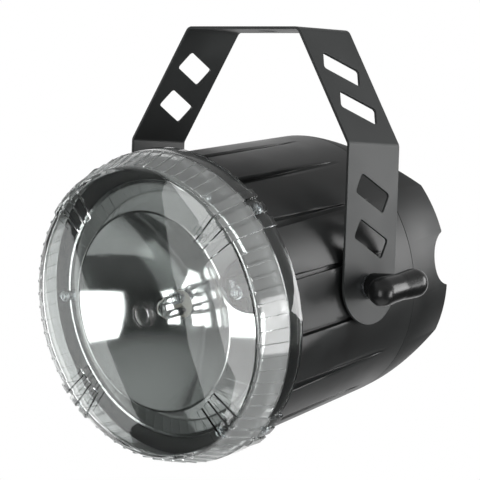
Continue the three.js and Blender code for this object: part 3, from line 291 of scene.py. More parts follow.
# %% [markdown]
# ## Finishes
# Colours are written as sRGB hex values, as a paint chart gives them, and one function turns
# them into the linear numbers that the shader works in. One small function adds a node.

# %% Colour and node helpers
def linear(hex_colour):
    channels = [int(hex_colour[i : i + 2], 16) / 255 for i in (1, 3, 5)]
    return [c / 12.92 if c <= 0.04045 else ((c + 0.055) / 1.055) ** 2.4 for c in channels] + [1.0]


def add(material, kind, settings=None, **links):
    """Adds a node. Links are input names, with spaces as underscores, to another node's output."""
    tree = material.node_tree
    node = tree.nodes.new(kind)
    for key, value in (settings or {}).items():
        if key in node.inputs:
            node.inputs[key].default_value = value
        elif key == "stops":
            while len(node.color_ramp.elements) < len(value):
                node.color_ramp.elements.new(0.5)
            for element, (position, colour) in zip(node.color_ramp.elements, value):
                element.position, element.color = position, colour
        else:
            setattr(node, key, value)
    for key, output in links.items():
        tree.links.new(output, node.inputs[key.replace("_", " ")])
    return node


def blank(name):
    material = bpy.data.materials.new(name)
    material.use_nodes = True
    material.node_tree.nodes.clear()
    return material


def surface_of(m, settings, **links):
    """Ends a material: the shader with its constants and links, and the output."""
    skin = add(m, "ShaderNodeBsdfPrincipled", settings, **links)
    add(m, "ShaderNodeOutputMaterial", Surface=skin.outputs["BSDF"])
    return m


def place_on(m):
    return add(m, "ShaderNodeTexCoord").outputs["Object"]


def noise(m, place, size_mm, detail=2.0):
    """Soft spots about this many millimetres across, from 0 to 1."""
    settings = {"Scale": 1 / (size_mm * MM), "Detail": detail}
    return add(m, "ShaderNodeTexNoise", settings, Vector=place).outputs["Fac"]


def tone(m, value, start, dark, end, pale):
    """A colour that goes from dark to pale between two values."""
    stops = [(start, linear(dark)), (end, linear(pale))]
    return add(m, "ShaderNodeValToRGB", {"stops": stops}, Fac=value).outputs["Color"]


def spread(m, value, low, high, start=0.0, end=1.0):
    """A number that goes from low to high between two values."""
    settings = {"From Min": start, "From Max": end, "To Min": low, "To Max": high}
    return add(m, "ShaderNodeMapRange", settings, Value=value).outputs["Result"]


def relief(m, height, strength, depth_mm):
    settings = {"Strength": strength, "Distance": depth_mm * MM}
    return add(m, "ShaderNodeBump", settings, Height=height).outputs["Normal"]


def lamp_frame(m, place):
    """The place in the lamp's own frame, where the axis is straight."""
    settings = {
        "vector_type": "TEXTURE", "Location": (0, 0, -PIVOT_DROP), "Rotation": (LAMP_TILT, 0, 0)}
    return add(m, "ShaderNodeMapping", settings, Vector=place).outputs["Vector"]


def grey(value):
    return (value, value, value, 1.0)


print("mid grey #808080 is", round(linear("#808080")[0], 3), "in linear light")

# %% [markdown]
# Powder-coated steel: powder is sprayed on and melted, and sets with a faint orange-peel skin.
# Real peel is about 0.5 mm across and is drawn a little coarser here, 0.8 mm.

# %% Black powder coat
def powder_coat():
    m = blank("powder_coated_steel_black")
    place = place_on(m)
    cloud = noise(m, place, 30, 3.0)
    return surface_of(
        m, {"IOR": 1.5},
        Base_Color=tone(m, cloud, 0.3, "#2b2d2d", 0.7, "#343636"),
        Roughness=spread(m, cloud, 0.42, 0.52, 0.3, 0.7),
        Normal=relief(m, noise(m, place, 0.8), 0.25, 0.05),
    )


POWDER_COAT = powder_coat()
print(POWDER_COAT.name, "has", len(POWDER_COAT.node_tree.nodes), "nodes")

# %% [markdown]
# The housing is moulded ABS with a fine spark-eroded grain, about 0.3 mm, that makes it satin.
# It is drawn a little coarser, 0.6 mm, so that it shows at all.

# %% Satin moulded plastic
def moulded(name, dark, pale, roughness, grain_mm, grain_depth):
    m = blank(name)
    place = place_on(m)
    cloud = noise(m, place, 25, 4.0)
    return surface_of(
        m, {"IOR": 1.53},
        Base_Color=tone(m, cloud, 0.35, dark, 0.65, pale),
        Roughness=spread(m, cloud, roughness - 0.03, roughness + 0.05, 0.3, 0.7),
        Normal=relief(m, noise(m, place, grain_mm, 3.0), 0.3, grain_depth),
    )


HOUSING_ABS = moulded("satin_abs_black", "#161717", "#1c1e1e", 0.4, 0.6, 0.04)
KNOB_NYLON = moulded("moulded_nylon_black", "#121313", "#191a1a", 0.26, 0.9, 0.03)
print(HOUSING_ABS.name, KNOB_NYLON.name)

# %% [markdown]
# Clear polycarbonate bends light more than water does, with an index of about 1.5 to 1.6, and has
# a faint grey cast. The ribbed band was moulded against an etched wall of the mould, so it is
# satin and slightly milky there, which hides what is behind it.

# %% Clear polycarbonate
def clear_plastic():
    m = blank("clear_polycarbonate")
    place = place_on(m)
    straight = lamp_frame(m, place)
    across = add(m, "ShaderNodeVectorMath", {"operation": "MULTIPLY"})
    across.inputs[1].default_value = (1, 0, 1)
    m.node_tree.links.new(straight, across.inputs[0])
    radius = add(m, "ShaderNodeVectorMath", {"operation": "LENGTH"})
    m.node_tree.links.new(across.outputs["Vector"], radius.inputs[0])
    depth = add(m, "ShaderNodeSeparateXYZ", Vector=straight)
    etched = add(m, "ShaderNodeMath", {"operation": "MULTIPLY"})
    beyond = spread(m, radius.outputs["Value"], 0.0, 1.0, 75.8 * MM, 77.2 * MM)
    before = spread(m, depth.outputs["Y"], 0.0, 1.0, -69.2 * MM, -70.0 * MM)
    m.node_tree.links.new(beyond, etched.inputs[0])
    m.node_tree.links.new(before, etched.inputs[1])
    satin = add(m, "ShaderNodeMath", {"operation": "MULTIPLY_ADD"})
    satin.inputs[1].default_value = 0.06
    m.node_tree.links.new(etched.outputs[0], satin.inputs[0])
    m.node_tree.links.new(spread(m, noise(m, place, 12), 0.0, 0.03, 0.35, 0.7), satin.inputs[2])
    return surface_of(
        m, {"Base Color": linear("#e9eceb"), "IOR": 1.5},
        Roughness=satin.outputs[0], Transmission_Weight=spread(m, etched.outputs[0], 1.0, 0.68),
    )


CLEAR_PC = clear_plastic()
print(CLEAR_PC.name)

# %% [markdown]
# The bowl is spun aluminium, polished bright. Spinning leaves fine rings about the axis, so a wave
# pattern in rings about the lamp's axis moves its height a very little, and soft noise moves its
# roughness.

# %% Bright spun aluminium
def spun_metal(name, colour, roughness, ring_mm, ring_depth):
    m = blank(name)
    place = place_on(m)
    rings = add(
        m, "ShaderNodeTexWave",
        {"wave_type": "RINGS", "rings_direction": "Y", "Scale": math.pi / 10 / (ring_mm * MM),
         "Distortion": 0.6, "Detail": 2.0},
        Vector=lamp_frame(m, place),
    )
    return surface_of(
        m, {"Base Color": linear(colour), "Metallic": 1.0},
        Roughness=spread(m, noise(m, place, 20, 3.0), roughness * 0.7, roughness * 1.3, 0.3, 0.7),
        Normal=relief(m, rings.outputs["Fac"], 0.2, ring_depth),
    )


BRIGHT_BOWL = spun_metal("polished_spun_aluminium", "#dcdedd", 0.09, 4.5, 0.01)
print(BRIGHT_BOWL.name)

# %% [markdown]
# The small metal parts: zinc-plated steel has a soft bluish gloss with cloudy plating, and
# machined brass a warmer one.

# %% Plated and machined metal
def cloudy_metal(name, dark, pale, roughness):
    m = blank(name)
    cloud = noise(m, place_on(m), 1.5, 3.0)
    return surface_of(
        m, {"Metallic": 1.0},
        Base_Color=tone(m, cloud, 0.3, dark, 0.7, pale),
        Roughness=spread(m, cloud, roughness - 0.06, roughness + 0.08),
    )


ZINC = cloudy_metal("zinc_plated_steel", "#b9bec2", "#d6dadc", 0.26)
BRASS = cloudy_metal("machined_brass", "#b2924a", "#c9ab62", 0.3)
TUNGSTEN = cloudy_metal("sintered_tungsten", "#6d6f72", "#85888b", 0.4)
print(ZINC.name, BRASS.name)

# %% [markdown]
# The rest is inside or small: rubber, glazed ceramic, the lacquered board, the capacitors'
# shrink sleeves, and the tube's glass.

# %% Rubber, ceramic, board, sleeve and glass
RUBBER = moulded("black_rubber", "#151515", "#1d1d1d", 0.7, 0.5, 0.05)
CERAMIC = moulded("white_ceramic", "#dcd8cc", "#e8e5dc", 0.4, 0.4, 0.02)
BOARD = moulded("green_lacquered_board", "#20502c", "#2a6338", 0.35, 1.2, 0.02)
SLEEVE = moulded("blue_shrink_sleeve", "#1c2844", "#253455", 0.3, 1.5, 0.02)
WHITE_PAINT = moulded("white_paint", "#d9dad8", "#e6e7e5", 0.5, 0.3, 0.02)


def tube_glass():
    m = blank("quartz_glass")
    return surface_of(
        m, {"Base Color": linear("#ffffff"), "IOR": 1.46, "Transmission Weight": 1.0},
        Roughness=spread(m, noise(m, place_on(m), 4), 0.0, 0.04),
    )


GLASS = tube_glass()
print("small finishes:", RUBBER.name, CERAMIC.name, BOARD.name, SLEEVE.name, GLASS.name)

# %% [markdown]
# ## Materials for the solids that stay
# The solids that nobody needs to see rounder keep their own shape and get a real finish.

# %% Dress the solids
FINISH_OF_SLOT = {
    "powder_black_steel": POWDER_COAT,
    "satin_black_plastic": HOUSING_ABS,
    "gloss_black_plastic": KNOB_NYLON,
    "clear_plastic": CLEAR_PC,
    "bright_reflector": BRIGHT_BOWL,
    "zinc_steel": ZINC,
    "brass": BRASS,
    "black_rubber": RUBBER,
    "clear_glass": GLASS,
    "white_ceramic": CERAMIC,
    "green_board": BOARD,
    "blue_sleeve": SLEEVE,
}
for part in frame["record"]["subparts"]:
    mesh = frame["nodes"][part["node"]].data
    mesh.materials.clear()
    mesh.materials.append(FINISH_OF_SLOT[part["material_slot"]])

# %% [markdown]
# ## The yoke
# The real yoke is laser-cut from one flat strip and then bent four times. It is made the same
# way: the flat outline is drawn with its slots, filled, creased where it will bend, and only
# then folded by moving its points along the bent line. Solidify gives the sheet its thickness.

# %% Flat strip sizes
YOKE_WIDTH, SHEET = 40.0, 1.5
ARM_X, TOP_X = 76.6 - SHEET / 2, 39.3 - SHEET / 2
BEND_Z, TOP_Z, PIVOT_Z = -60.0, -SHEET / 2, -133.0
BEND_R = 3.0 + SHEET / 2
SLOT = (24.4, 10.9, 1.6)
SLOT_TURN = math.radians(25.5)
SLOT_PLACES = [(-1, 25.1), (-1, 48.6), (1, 21.9), (1, 45.4)]


def bent_line():
    """The middle line of half the strip, from the top's middle to the arm's end, with bends."""
    corners = [(0, TOP_Z), (TOP_X, TOP_Z, BEND_R), (ARM_X, BEND_Z, BEND_R), (ARM_X, PIVOT_Z - 20)]
    return rounded(corners, steps=8)


LINE = bent_line()
LENGTHS = [0.0]
for before, after in zip(LINE, LINE[1:]):
    LENGTHS.append(LENGTHS[-1] + (after - before).length)
print("half strip", round(LENGTHS[-1], 1), "mm long")


def at_length(distance):
    """The point of the bent line at a distance along it, and its direction there."""
    d = min(max(abs(distance), 0.0), LENGTHS[-1])
    i = max(k for k in range(len(LENGTHS) - 1) if LENGTHS[k] <= d + 1e-9)
    way = (LINE[i + 1] - LINE[i]).normalized()
    return LINE[i] + way * (d - LENGTHS[i]), way


def length_at_bend():
    """Distance along the line of the middle of the arm's bend."""
    return LENGTHS[-1] - (BEND_Z - (PIVOT_Z - 20))


# %% [markdown]
# The flat outline runs round both ends, and each hole is one more closed loop inside it. The
# filled face is creased along every line where the strip will turn.

# %% Cut the flat strip
def loop(bm, points):
    verts = [bm.verts.new((x, y, 0)) for x, y in points]
    for a, b in zip(verts, verts[1:] + verts[:1]):
        bm.edges.new((a, b))


def slot_outline(centre, turn):
    length, height, corner = SLOT
    x, y = length / 2 - corner, height / 2 - corner
    points = []
    for k, (sx, sy) in enumerate([(1, 1), (-1, 1), (-1, -1), (1, -1)]):
        for step in range(5):
            a = math.pi / 2 * (k + step / 4)
            points.append(Vector((sx * x + corner * math.cos(a), sy * y + corner * math.sin(a))))
    return [Vector(centre) + Matrix.Rotation(turn, 2) @ p for p in points]


def circle(radius, centre, steps):
    turns = [2 * math.pi * k / steps for k in range(steps)]
    return [(centre[0] + radius * math.cos(a), centre[1] + radius * math.sin(a)) for a in turns]


def flat_strip():
    bm = bmesh.new()
    end, half = LENGTHS[-1] - YOKE_WIDTH / 2, YOKE_WIDTH / 2
    outline = []
    for side in (1, -1):
        for k in range(33):
            a = math.pi * k / 32 - math.pi / 2
            outline.append((side * (end + half * math.cos(a)), side * half * math.sin(a)))
    loop(bm, outline)
    loop(bm, circle(5.25, (0, 0), 32))
    for side in (1, -1):
        loop(bm, circle(3.4, (side * end, 0), 24))
        for sign, distance in SLOT_PLACES:
            along = length_at_bend() - sign * distance
            loop(bm, slot_outline((side * along, 0), math.pi / 2 - side * SLOT_TURN))
    bmesh.ops.triangle_fill(bm, use_beauty=True, use_dissolve=False, edges=bm.edges[:])
    for d in LENGTHS[1:-1]:
        for side in (1, -1):
            bmesh.ops.bisect_plane(
                bm, geom=bm.verts[:] + bm.edges[:] + bm.faces[:], dist=1e-5,
                plane_co=(side * d, 0, 0), plane_no=(1, 0, 0),
            )
    return bm


strip = flat_strip()
print("flat strip has", len(strip.faces), "faces")

# %% [markdown]
# Folding moves each point to its distance along the bent line. The yoke stands upright, so it
# takes no lamp matrix.

# %% Fold the strip
def folded_yoke(bm):
    for v in bm.verts:
        point, _ = at_length(v.co.x)
        side = 1 if v.co.x >= 0 else -1
        v.co = Vector((side * point.x * MM, v.co.y * MM, point.y * MM))
    bmesh.ops.recalc_face_normals(bm, faces=bm.faces[:])
    upper = max(bm.faces, key=lambda f: f.calc_center_median().z)
    if upper.normal.z < 0:
        bmesh.ops.reverse_faces(bm, faces=bm.faces[:])
    return bm


yoke = finished(
    "yoke_strip", folded_yoke(strip), "yoke", POWDER_COAT, ["yoke_bracket"], Matrix.Identity(4)
)
thick = yoke.modifiers.new("sheet thickness", "SOLIDIFY")
thick.thickness, thick.offset = SHEET * MM, 0.0
thick.use_even_offset = True
edge = yoke.modifiers.new("deburred edges", "BEVEL")
edge.width, edge.segments, edge.limit_method, edge.angle_limit = 0.25 * MM, 2, "ANGLE", 0.9
edge.harden_normals = True

# %% [markdown]
# ## The clear cover
# The cover is a moulded cap: an almost flat front, a conical band and a plain skirt. Its
# section is spun as one closed wall. Where the plastic ran into the mould there is a small disc
# inside a thin ring, 14 mm across. 696 steps go round, because the ribs stand 10 steps apart
# (5.2 degrees) and the bars 12 (6.2 degrees), so both fall on whole steps.

# %% Spin the cover
COVER_STEPS = 696
STEP = 2 * math.pi / COVER_STEPS
GRIP_TURN = math.radians(39.5)
FRONT_R, FRONT_Y, LIP_R = 76.4, -88.0, 2.5
LIP_MIDDLE = Vector((FRONT_R - LIP_R, FRONT_Y + LIP_R))
BAR_INNER_R, BAND_BACK_Y, SKIRT_BACK_Y = 58.0, -69.4, -59.5
cover_section = [
    (0, -90.5), (4.0, -90.5, 0.2), (4.3, -89.2, 0.3), (6.2, -89.2, 0.3), (6.4, -90.45, 0.15),
    (7.0, -90.45, 0.15), (7.3, -89.95, 0.15), (30, -89.7), (44, -89.3), (BAR_INNER_R, -88.8),
    (66, -88.4), (FRONT_R, FRONT_Y, LIP_R), (77.7, -83.5), (78.9, -79.2), (80.2, -74.8), (81.45, -70.3),
    (81.7, BAND_BACK_Y, 0.2), (82.1, -69.2, 0.2), (82.1, -64.4), (82.1, SKIRT_BACK_Y, 0.4),
    (78.0, SKIRT_BACK_Y, 0.3), (78.0, -72.8, 0.3), (76.75, -72.8, 0.3), (74.9, -84.4, 1.5),
    (0, -87.6),
]
cover = spun(cover_section, COVER_STEPS, steps=6)
print("cover spun with", len(cover.faces), "faces")

# %% [markdown]
# A rib is two steps wide and stands 0.8 mm proud of the band. There are 13 in each quarter, and
# none beside the four grip groups. Each group has three bars that run over the front, the band
# and the skirt. Both are raised the same way: their faces are extruded, and the new points are
# moved out along the section's own outward direction, and a little inwards at the sides, as
# the mould's draft asks.

# %% Raise the ribs and grips
def steps_round(point):
    """How many steps round from the first grip group's middle, from 0 to COVER_STEPS."""
    return (math.atan2(point.z, point.x) / STEP) % COVER_STEPS


def outwards(radius, y):
    """The outward direction of the cover's section at a radius and a place along the axis."""
    if radius < LIP_MIDDLE.x:
        return Vector((0, -1))
    from_middle = Vector((radius, y)) - LIP_MIDDLE
    if y < LIP_MIDDLE.y:
        return from_middle.normalized()
    return Vector((1, 0))


def in_space(point, way):
    """A direction of the section, turned to where the point lies round the axis."""
    flat = Vector((point.x, 0, point.z)).normalized()
    return flat * way.x + Vector((0, way.y, 0))


def section_place(point):
    return math.hypot(point.x, point.z) / MM, point.y / MM


def steps_away(point, middle):
    half_round = COVER_STEPS / 2
    return (steps_round(point) - middle + half_round) % COVER_STEPS - half_round


def is_outside(face):
    c = face.calc_center_median()
    return face.normal.dot(in_space(c, outwards(*section_place(c)))) > 0.5


def key(point):
    return tuple(round(v, 7) for v in point)


def raised(bm, spans, keeps, height, draft):
    """Lifts the faces whose middle is inside a span of steps and that keeps() accepts."""
    picked = {}
    for face in bm.faces:
        c = face.calc_center_median()
        for middle, half in spans:
            if abs(steps_away(c, middle)) < half and keeps(*section_place(c)) and is_outside(face):
                picked[face] = middle
    middles = {key(v.co): middle for face, middle in picked.items() for v in face.verts}
    made = bmesh.ops.extrude_face_region(bm, geom=list(picked))["geom"]
    bmesh.ops.delete(bm, geom=list(picked), context="FACES")
    for v in points_of(made):
        radius, y = section_place(v.co)
        lean = steps_away(v.co, middles[key(v.co)]) * draft / radius
        v.co += in_space(v.co, outwards(radius, y) * height(radius, y)) * MM
        v.co = Matrix.Rotation(lean, 3, "Y") @ v.co
    return len(picked)


RIB_HEIGHT = 0.8


def rib_spans():
    quarter = COVER_STEPS // 4
    return [
        (quarter * (q + 0.5) + 10 * k, 1.0) for q in range(4) for k in range(-6, 7)
    ]


def bar_spans():
    quarter = COVER_STEPS // 4
    return [(quarter * q + 12 * k, 4.0) for q in range(4) for k in (-1, 0, 1)]


def on_band(radius, y):
    return radius > 77 and -85 < y < -70.4


def on_bar(radius, y):
    return radius > BAR_INNER_R and y < SKIRT_BACK_Y


def bar_height(radius, y):
    if radius < LIP_MIDDLE.x:
        return 1.2
    return 1.6 if y > BAND_BACK_Y - 0.1 else 1.3


rib_faces = raised(cover, rib_spans(), on_band, lambda radius, y: RIB_HEIGHT, 0.12)
bar_faces = raised(cover, bar_spans(), on_bar, bar_height, 0.06)
print("raised", rib_faces, "rib faces and", bar_faces, "bar faces")

# %% [markdown]
# The first grip group was made on the X axis. It is turned to its real place, 39.5 degrees up.

# %% Turn the cover to its place
turn_to_grips = LAMP @ Matrix.Rotation(-GRIP_TURN, 4, "Y")
finished("clear_cover", cover, "lamp", CLEAR_PC, ["front_cover"], turn_to_grips)

# %% [markdown]
# ## The reflector
# One turned sheet: the bowl, its rolled rim, the flange that slopes back, and the flat edge
# that the ring clamps. The round notch is cut out of the flange afterwards.

# %% Spin the reflector
BOWL_R, BOWL_RIM_Y, BOWL_APEX_Y, APEX_HOLE_R = 52.0, -80.5, -57.5, 7.4


def bowl_y(radius):
    return BOWL_APEX_Y - (BOWL_APEX_Y - BOWL_RIM_Y) * (radius / BOWL_R) ** 2


def reflector_section():
    wall = 1.2
    radii = [APEX_HOLE_R + (BOWL_R - APEX_HOLE_R) * k / 40 for k in range(41)]
    inside = [(r, bowl_y(r)) for r in radii]
    outside = [(r + wall, bowl_y(r) + wall) for r in reversed(radii[:-1])]
    flange = [
        (BOWL_R + wall, BOWL_RIM_Y, 0.5), (66, -73.4, 0.8), (66, -72.5, 0.3), (68, -72.5, 0.2),
        (68, -71.3, 0.2), (64.8, -71.3, 0.3), (64.8, -72.2, 0.5), (54.4, -78.1, 0.5),
    ]
    return inside + flange + outside


NOTCH_PLACE = swing(13.5) @ shift(68, 0, 0)


def notch_collar():
    """A low lip along the notch's edge that follows the flange."""
    ring = spun([(15.4, -86, 0.1), (16.8, -86, 0.1), (16.8, -70), (15.4, -70)], 96)
    follow = spun([(52.2, -82.0, 0.3), (66, -75.0, 0.4), (66, -72.6), (53.4, -79.6)], 256)
    return combined(moved(ring, NOTCH_PLACE), "INTERSECT", follow)


bowl = carved(
    combined(spun(reflector_section(), 256), "UNION", notch_collar()),
    moved(bar_along(15.5, -92, -60, segments=96), NOTCH_PLACE),
)
finished("bowl_reflector", bowl, "lamp", BRIGHT_BOWL, ["reflector"])

# %% [markdown]
# ## The main shell
# The taper with its 16 grooves is one skin of points: columns run round and rows run back. The
# columns crowd together at each groove's edges and follow them as the groove narrows, so the
# edges stay clean. A grid is made with an operator and each point is moved to its place.

# %% Shell sizes
SHELL_FRONT_R, SHOULDER_Y, SEAM_Y, SEAM_R = 77.4, -56.0, 43.0, 70.3
GROOVE_END_Y, GROOVE_DEPTH, GROOVE_TAIL = 27.0, 4.2, 0.35
GROOVES, GROOVE_HALF, SIDE_GROOVE_HALF = 16, 2.7, 1.5
SECTOR = 360 / GROOVES
FLAT_X, FLAT_END_Y = 73.7, 0.1


def shell_radius(y):
    return SHELL_FRONT_R + max(y - SHOULDER_Y, 0) * (SEAM_R - SHELL_FRONT_R) / (SEAM_Y - SHOULDER_Y)


# across a groove: (place as a share of the half width, rounding added in mm, share of the depth)
ACROSS = [(0.0, 0, 1.0), (0.5, 0, 1.0), (0.78, 0, 0.98), (0.9, 0, 0.88), (0.97, 0, 0.5),
          (1.0, 0.1, 0.08), (1.0, 0.4, 0.0)]
PLAIN_SHARES = [0.12, 0.3, 0.5, 0.7, 0.88]
HALF = [*ACROSS, *[(share, None, 0) for share in PLAIN_SHARES]]
COLUMNS = [
    *[(-1, c) for c in reversed(HALF[1:])], (0, HALF[0]), *[(1, c) for c in HALF[1:]], (1, None)
]
ROWS = [-56.0, -55.6, -50, -42, -34, -26, -18, -10, -2, 6, 14, 20, 24, 27, 30, 36, 42.7, 43.0]
print(len(COLUMNS) * GROOVES, "columns and", len(ROWS), "rows")


def groove_at(y, half_width):
    along = min(max((y - SHOULDER_Y) / (GROOVE_END_Y - SHOULDER_Y), 0), 1)
    bottom = SHELL_FRONT_R - GROOVE_DEPTH + along * (
        shell_radius(GROOVE_END_Y) - SHELL_FRONT_R + GROOVE_DEPTH)
    depth = max(shell_radius(y) - bottom, 0) if y < GROOVE_END_Y else 0
    return depth, half_width * (1 - along * (1 - GROOVE_TAIL))


def shell_point(column, row):
    sector, k = divmod(column, len(COLUMNS))
    side, spec = COLUMNS[k]
    y = ROWS[row]
    middle = (sector + 0.5) * SECTOR
    beside_arm = abs(math.cos(math.radians(middle))) > math.cos(math.radians(12))
    depth, half = groove_at(y, SIDE_GROOVE_HALF if beside_arm else GROOVE_HALF)
    radius = shell_radius(y)
    reach = math.degrees((half + 0.6) / radius)
    if spec is None:
        offset, drop = SECTOR / 2, 0.0
    elif spec[1] is None:
        offset, drop = side * (reach + (SECTOR / 2 - reach) * spec[0]), 0.0
    else:
        offset, drop = side * math.degrees((half * spec[0] + spec[1]) / radius), depth * spec[2]
    a = math.radians(middle + offset)
    x, z = (radius - drop) * math.cos(a), (radius - drop) * math.sin(a)
    if y < FLAT_END_Y:
        x = max(-FLAT_X, min(FLAT_X, x))
    return Vector((x, y, z)) * MM


# %% [markdown]
# The grid's last column falls on its first one, and the doubled points there are put together.

# %% Make the shell's skin
def shell_skin():
    bm = bmesh.new()
    columns = len(COLUMNS) * GROOVES
    bmesh.ops.create_grid(bm, x_segments=columns, y_segments=len(ROWS) - 1, size=1.0)
    for v in bm.verts:
        column = round((v.co.x + 1) / 2 * columns)
        row = round((v.co.y + 1) / 2 * (len(ROWS) - 1))
        v.co = shell_point(column % columns, row)
    bmesh.ops.remove_doubles(bm, verts=bm.verts[:], dist=1e-7)
    return bm


skin = shell_skin()
print("skin", len(skin.verts), "points")

# %% [markdown]
# From the skin's front edge the wall goes on forward under the cover, then in to the ring that
# holds the reflector's edge, and back along the inside. Each step extrudes an open edge and
# moves the new points, as one would by hand.

# %% Close the shell
def edge_loop(bm, y):
    return [
        e for e in bm.edges
        if e.is_boundary and all(abs(v.co.y / MM - y) < 0.01 for v in e.verts)
    ]


def drawn_on(bm, edges, radius, y):
    """Extrudes an open ring of edges to a new radius and place."""
    made = bmesh.ops.extrude_edge_only(bm, edges=edges)["geom"]
    for v in points_of(made):
        flat = Vector((v.co.x, 0, v.co.z)).normalized() * radius * MM
        v.co = Vector((flat.x, y * MM, flat.z))
    return [e for e in edges_of(made) if e.is_boundary]


def closed_shell(bm):
    ring = edge_loop(bm, SHOULDER_Y)
    for radius, y in [(77.4, -56.05), (77.4, -72.2), (77.1, -72.5), (68.6, -72.5), (68.3, -72.3),
                      (68.3, -71.0), (65.0, -71.0), (65.0, -68.5), (72.2, -68.5), (72.2, -56.0),
                      (67.8, 43.0)]:
        ring = drawn_on(bm, ring, radius, y)
    back = edge_loop(bm, SEAM_Y)
    bmesh.ops.bridge_loops(bm, edges=back)
    bmesh.ops.recalc_face_normals(bm, faces=bm.faces[:])
    return bm


# %% [markdown]
# Round pads stand inside the sides for the pivots, a tongue reaches into the reflector's notch,
# and four posts take the long screws of the rear cover. They are added to the shell and bored.

# %% Pads, tongue and posts
def across(radius, x_low, x_high, fillet=0.2):
    """A round bar along X."""
    return moved(bar_along(radius, x_low, x_high, segments=64, fillet=fillet),
                 Matrix.Rotation(-math.pi / 2, 4, "Z"))


REAR_TURNS, REAR_SCREW_R = (17.5, 162.5, 197.5, 342.5), 60.5
REFLECTOR_SCREW_TURNS, REFLECTOR_SCREW_R = (176.5, 56.5, -63.5), 70.3
TONGUE_TURN, TONGUE_SCREW_R, SCREW_BORE_R = 11.6, 58.0, 1.7
BOSS_R, BOSS_INNER_X, PAD_R, INSERT_R = 9.0, 58.7, 10.5, 5.3
POST_R, POST_FRONT_Y, POST_BACK_Y, WEB_HALF = 4.4, 12.0, 59.7, 1.25
added, bored = [], []
for mirror in (Matrix.Identity(4), Matrix.Rotation(math.pi, 4, "Z")):
    added += [moved(across(BOSS_R, BOSS_INNER_X, 72, 0.4), mirror)]
    added += [moved(across(PAD_R, 71.3, FLAT_X, 0.3), mirror)]
    bored += [moved(across(INSERT_R, 58, 75, 0), mirror)]
for turn in REAR_TURNS:
    web = box((REAR_SCREW_R, POST_FRONT_Y, -WEB_HALF), (68.6, 33.5, WEB_HALF))
    post = bar_along(POST_R, POST_FRONT_Y, POST_BACK_Y, (REAR_SCREW_R, 0))
    added += [moved(post, swing(turn)), moved(web, swing(turn))]
    bored += [moved(bar_along(SCREW_BORE_R, 43.7, 61, (REAR_SCREW_R, 0), 24, 0), swing(turn))]
bored += [
    moved(bar_along(SCREW_BORE_R, -74, -67, (REFLECTOR_SCREW_R, 0), 24, 0), swing(turn))
    for turn in REFLECTOR_SCREW_TURNS
]
shell = combined(mended(closed_shell(skin)), "UNION", *added)
tongue = carved(
    box((54.5, -76.5, -3.5), (66, -68.7, 3.5)),
    bar_along(SCREW_BORE_R, -78, -67, (TONGUE_SCREW_R, 0), 24, 0),
)
shell = joined(mended(carved(shell, *bored)), moved(tongue, swing(TONGUE_TURN)))
finished("housing_shell", shell, "lamp", HOUSING_ABS, ["main_shell"])

# %% [markdown]
# ## The rear cover
# A deep cap with sloped faces above and below, like a wedge. Inside its rear edge a flat plate
# carries the controls. The cap starts as a turned solid, and planes at 45 degrees slice off its
# top and bottom. Two smaller bodies, sliced the same way, then hollow it from both ends, so the
# plate between them is left standing.

# %% Rear cover sizes
REAR_END_Y, REAR_END_R, HALF_HEIGHT = 75.0, 66.8, 38.6
SLOPE_WALL = 2.0
PLATE_FRONT_Y, PLATE_BACK_Y = 60.0, 62.5


def rear_radius(y):
    return SEAM_R + (y - SEAM_Y) * (REAR_END_R - SEAM_R) / (REAR_END_Y - SEAM_Y)


def sliced(bm, inset):
    """Cuts a closed body with both slopes, moved inwards by the wall, and closes the cuts."""
    for side in (1, -1):
        normal = Vector((0, 1, side)).normalized()
        corner = Vector((0, REAR_END_Y, side * HALF_HEIGHT)) - normal * inset
        geom = bm.verts[:] + bm.edges[:] + bm.faces[:]
        cut = bmesh.ops.bisect_plane(
            bm, geom=geom, plane_co=corner * MM, plane_no=normal, clear_outer=True, dist=1e-7
        )["geom_cut"]
        bmesh.ops.edgeloop_fill(bm, edges=edges_of(cut))
    bmesh.ops.recalc_face_normals(bm, faces=bm.faces[:])
    return bm


outer = sliced(spun([
    (0, 34), (67.5, 34, 0.3), (67.5, 43.3), (rear_radius(43.3), 43.3, 0.2),
    (REAR_END_R, REAR_END_Y, 0.4), (0, REAR_END_Y),
], 256), 0)
print("sliced cap", len(outer.faces), "faces")

# %% [markdown]
# Each side of the rim has one round bite for fingers, right behind the clamp knob. Its cutter is
# an outline with the mouth's corners rounded off, filled and drawn across the whole cap.

# %% Bite and hole cutters
BITE_R, BITE_DEPTH, BITE_CORNER = 14.5, 11.4, 1.5


def bite_outline():
    centre_y = REAR_END_Y - BITE_DEPTH + BITE_R
    rise = centre_y - REAR_END_Y + BITE_CORNER
    corner = math.sqrt((BITE_R + BITE_CORNER) ** 2 - rise**2)
    meet = math.atan2(rise, corner)
    line = []
    for k in range(9):
        a = math.pi / 2 + (math.pi / 2 - meet) * k / 8
        x, y = corner + BITE_CORNER * math.cos(a), REAR_END_Y + BITE_CORNER * (math.sin(a) - 1)
        line.append((x, y))
    for k in range(1, 32):
        a = -meet - (math.pi - 2 * meet) * k / 32
        line.append((BITE_R * math.cos(a), centre_y + BITE_R * math.sin(a)))
    line += [(-x, y) for x, y in reversed(line[:9])]
    return [(corner, REAR_END_Y + 5), *line, (-corner, REAR_END_Y + 5)]


def prism(outline, depth):
    """An outline in the plane of the first two axes, filled and drawn up the third."""
    bm = bmesh.new()
    loop(bm, [(x * MM, y * MM) for x, y in outline])
    bmesh.ops.triangle_fill(bm, use_beauty=True, edges=bm.edges[:])
    pushed(bm, bm.faces[:], (0, 0, depth))
    bmesh.ops.recalc_face_normals(bm, faces=bm.faces[:])
    return bm


def bite_cutter():
    """The bite's outline drawn across the whole cap, past both sides."""
    reach = 80
    return moved(
        prism(bite_outline(), 2 * reach), Matrix.Rotation(math.pi / 2, 4, "Y") @ shift(0, 0, -reach)
    )


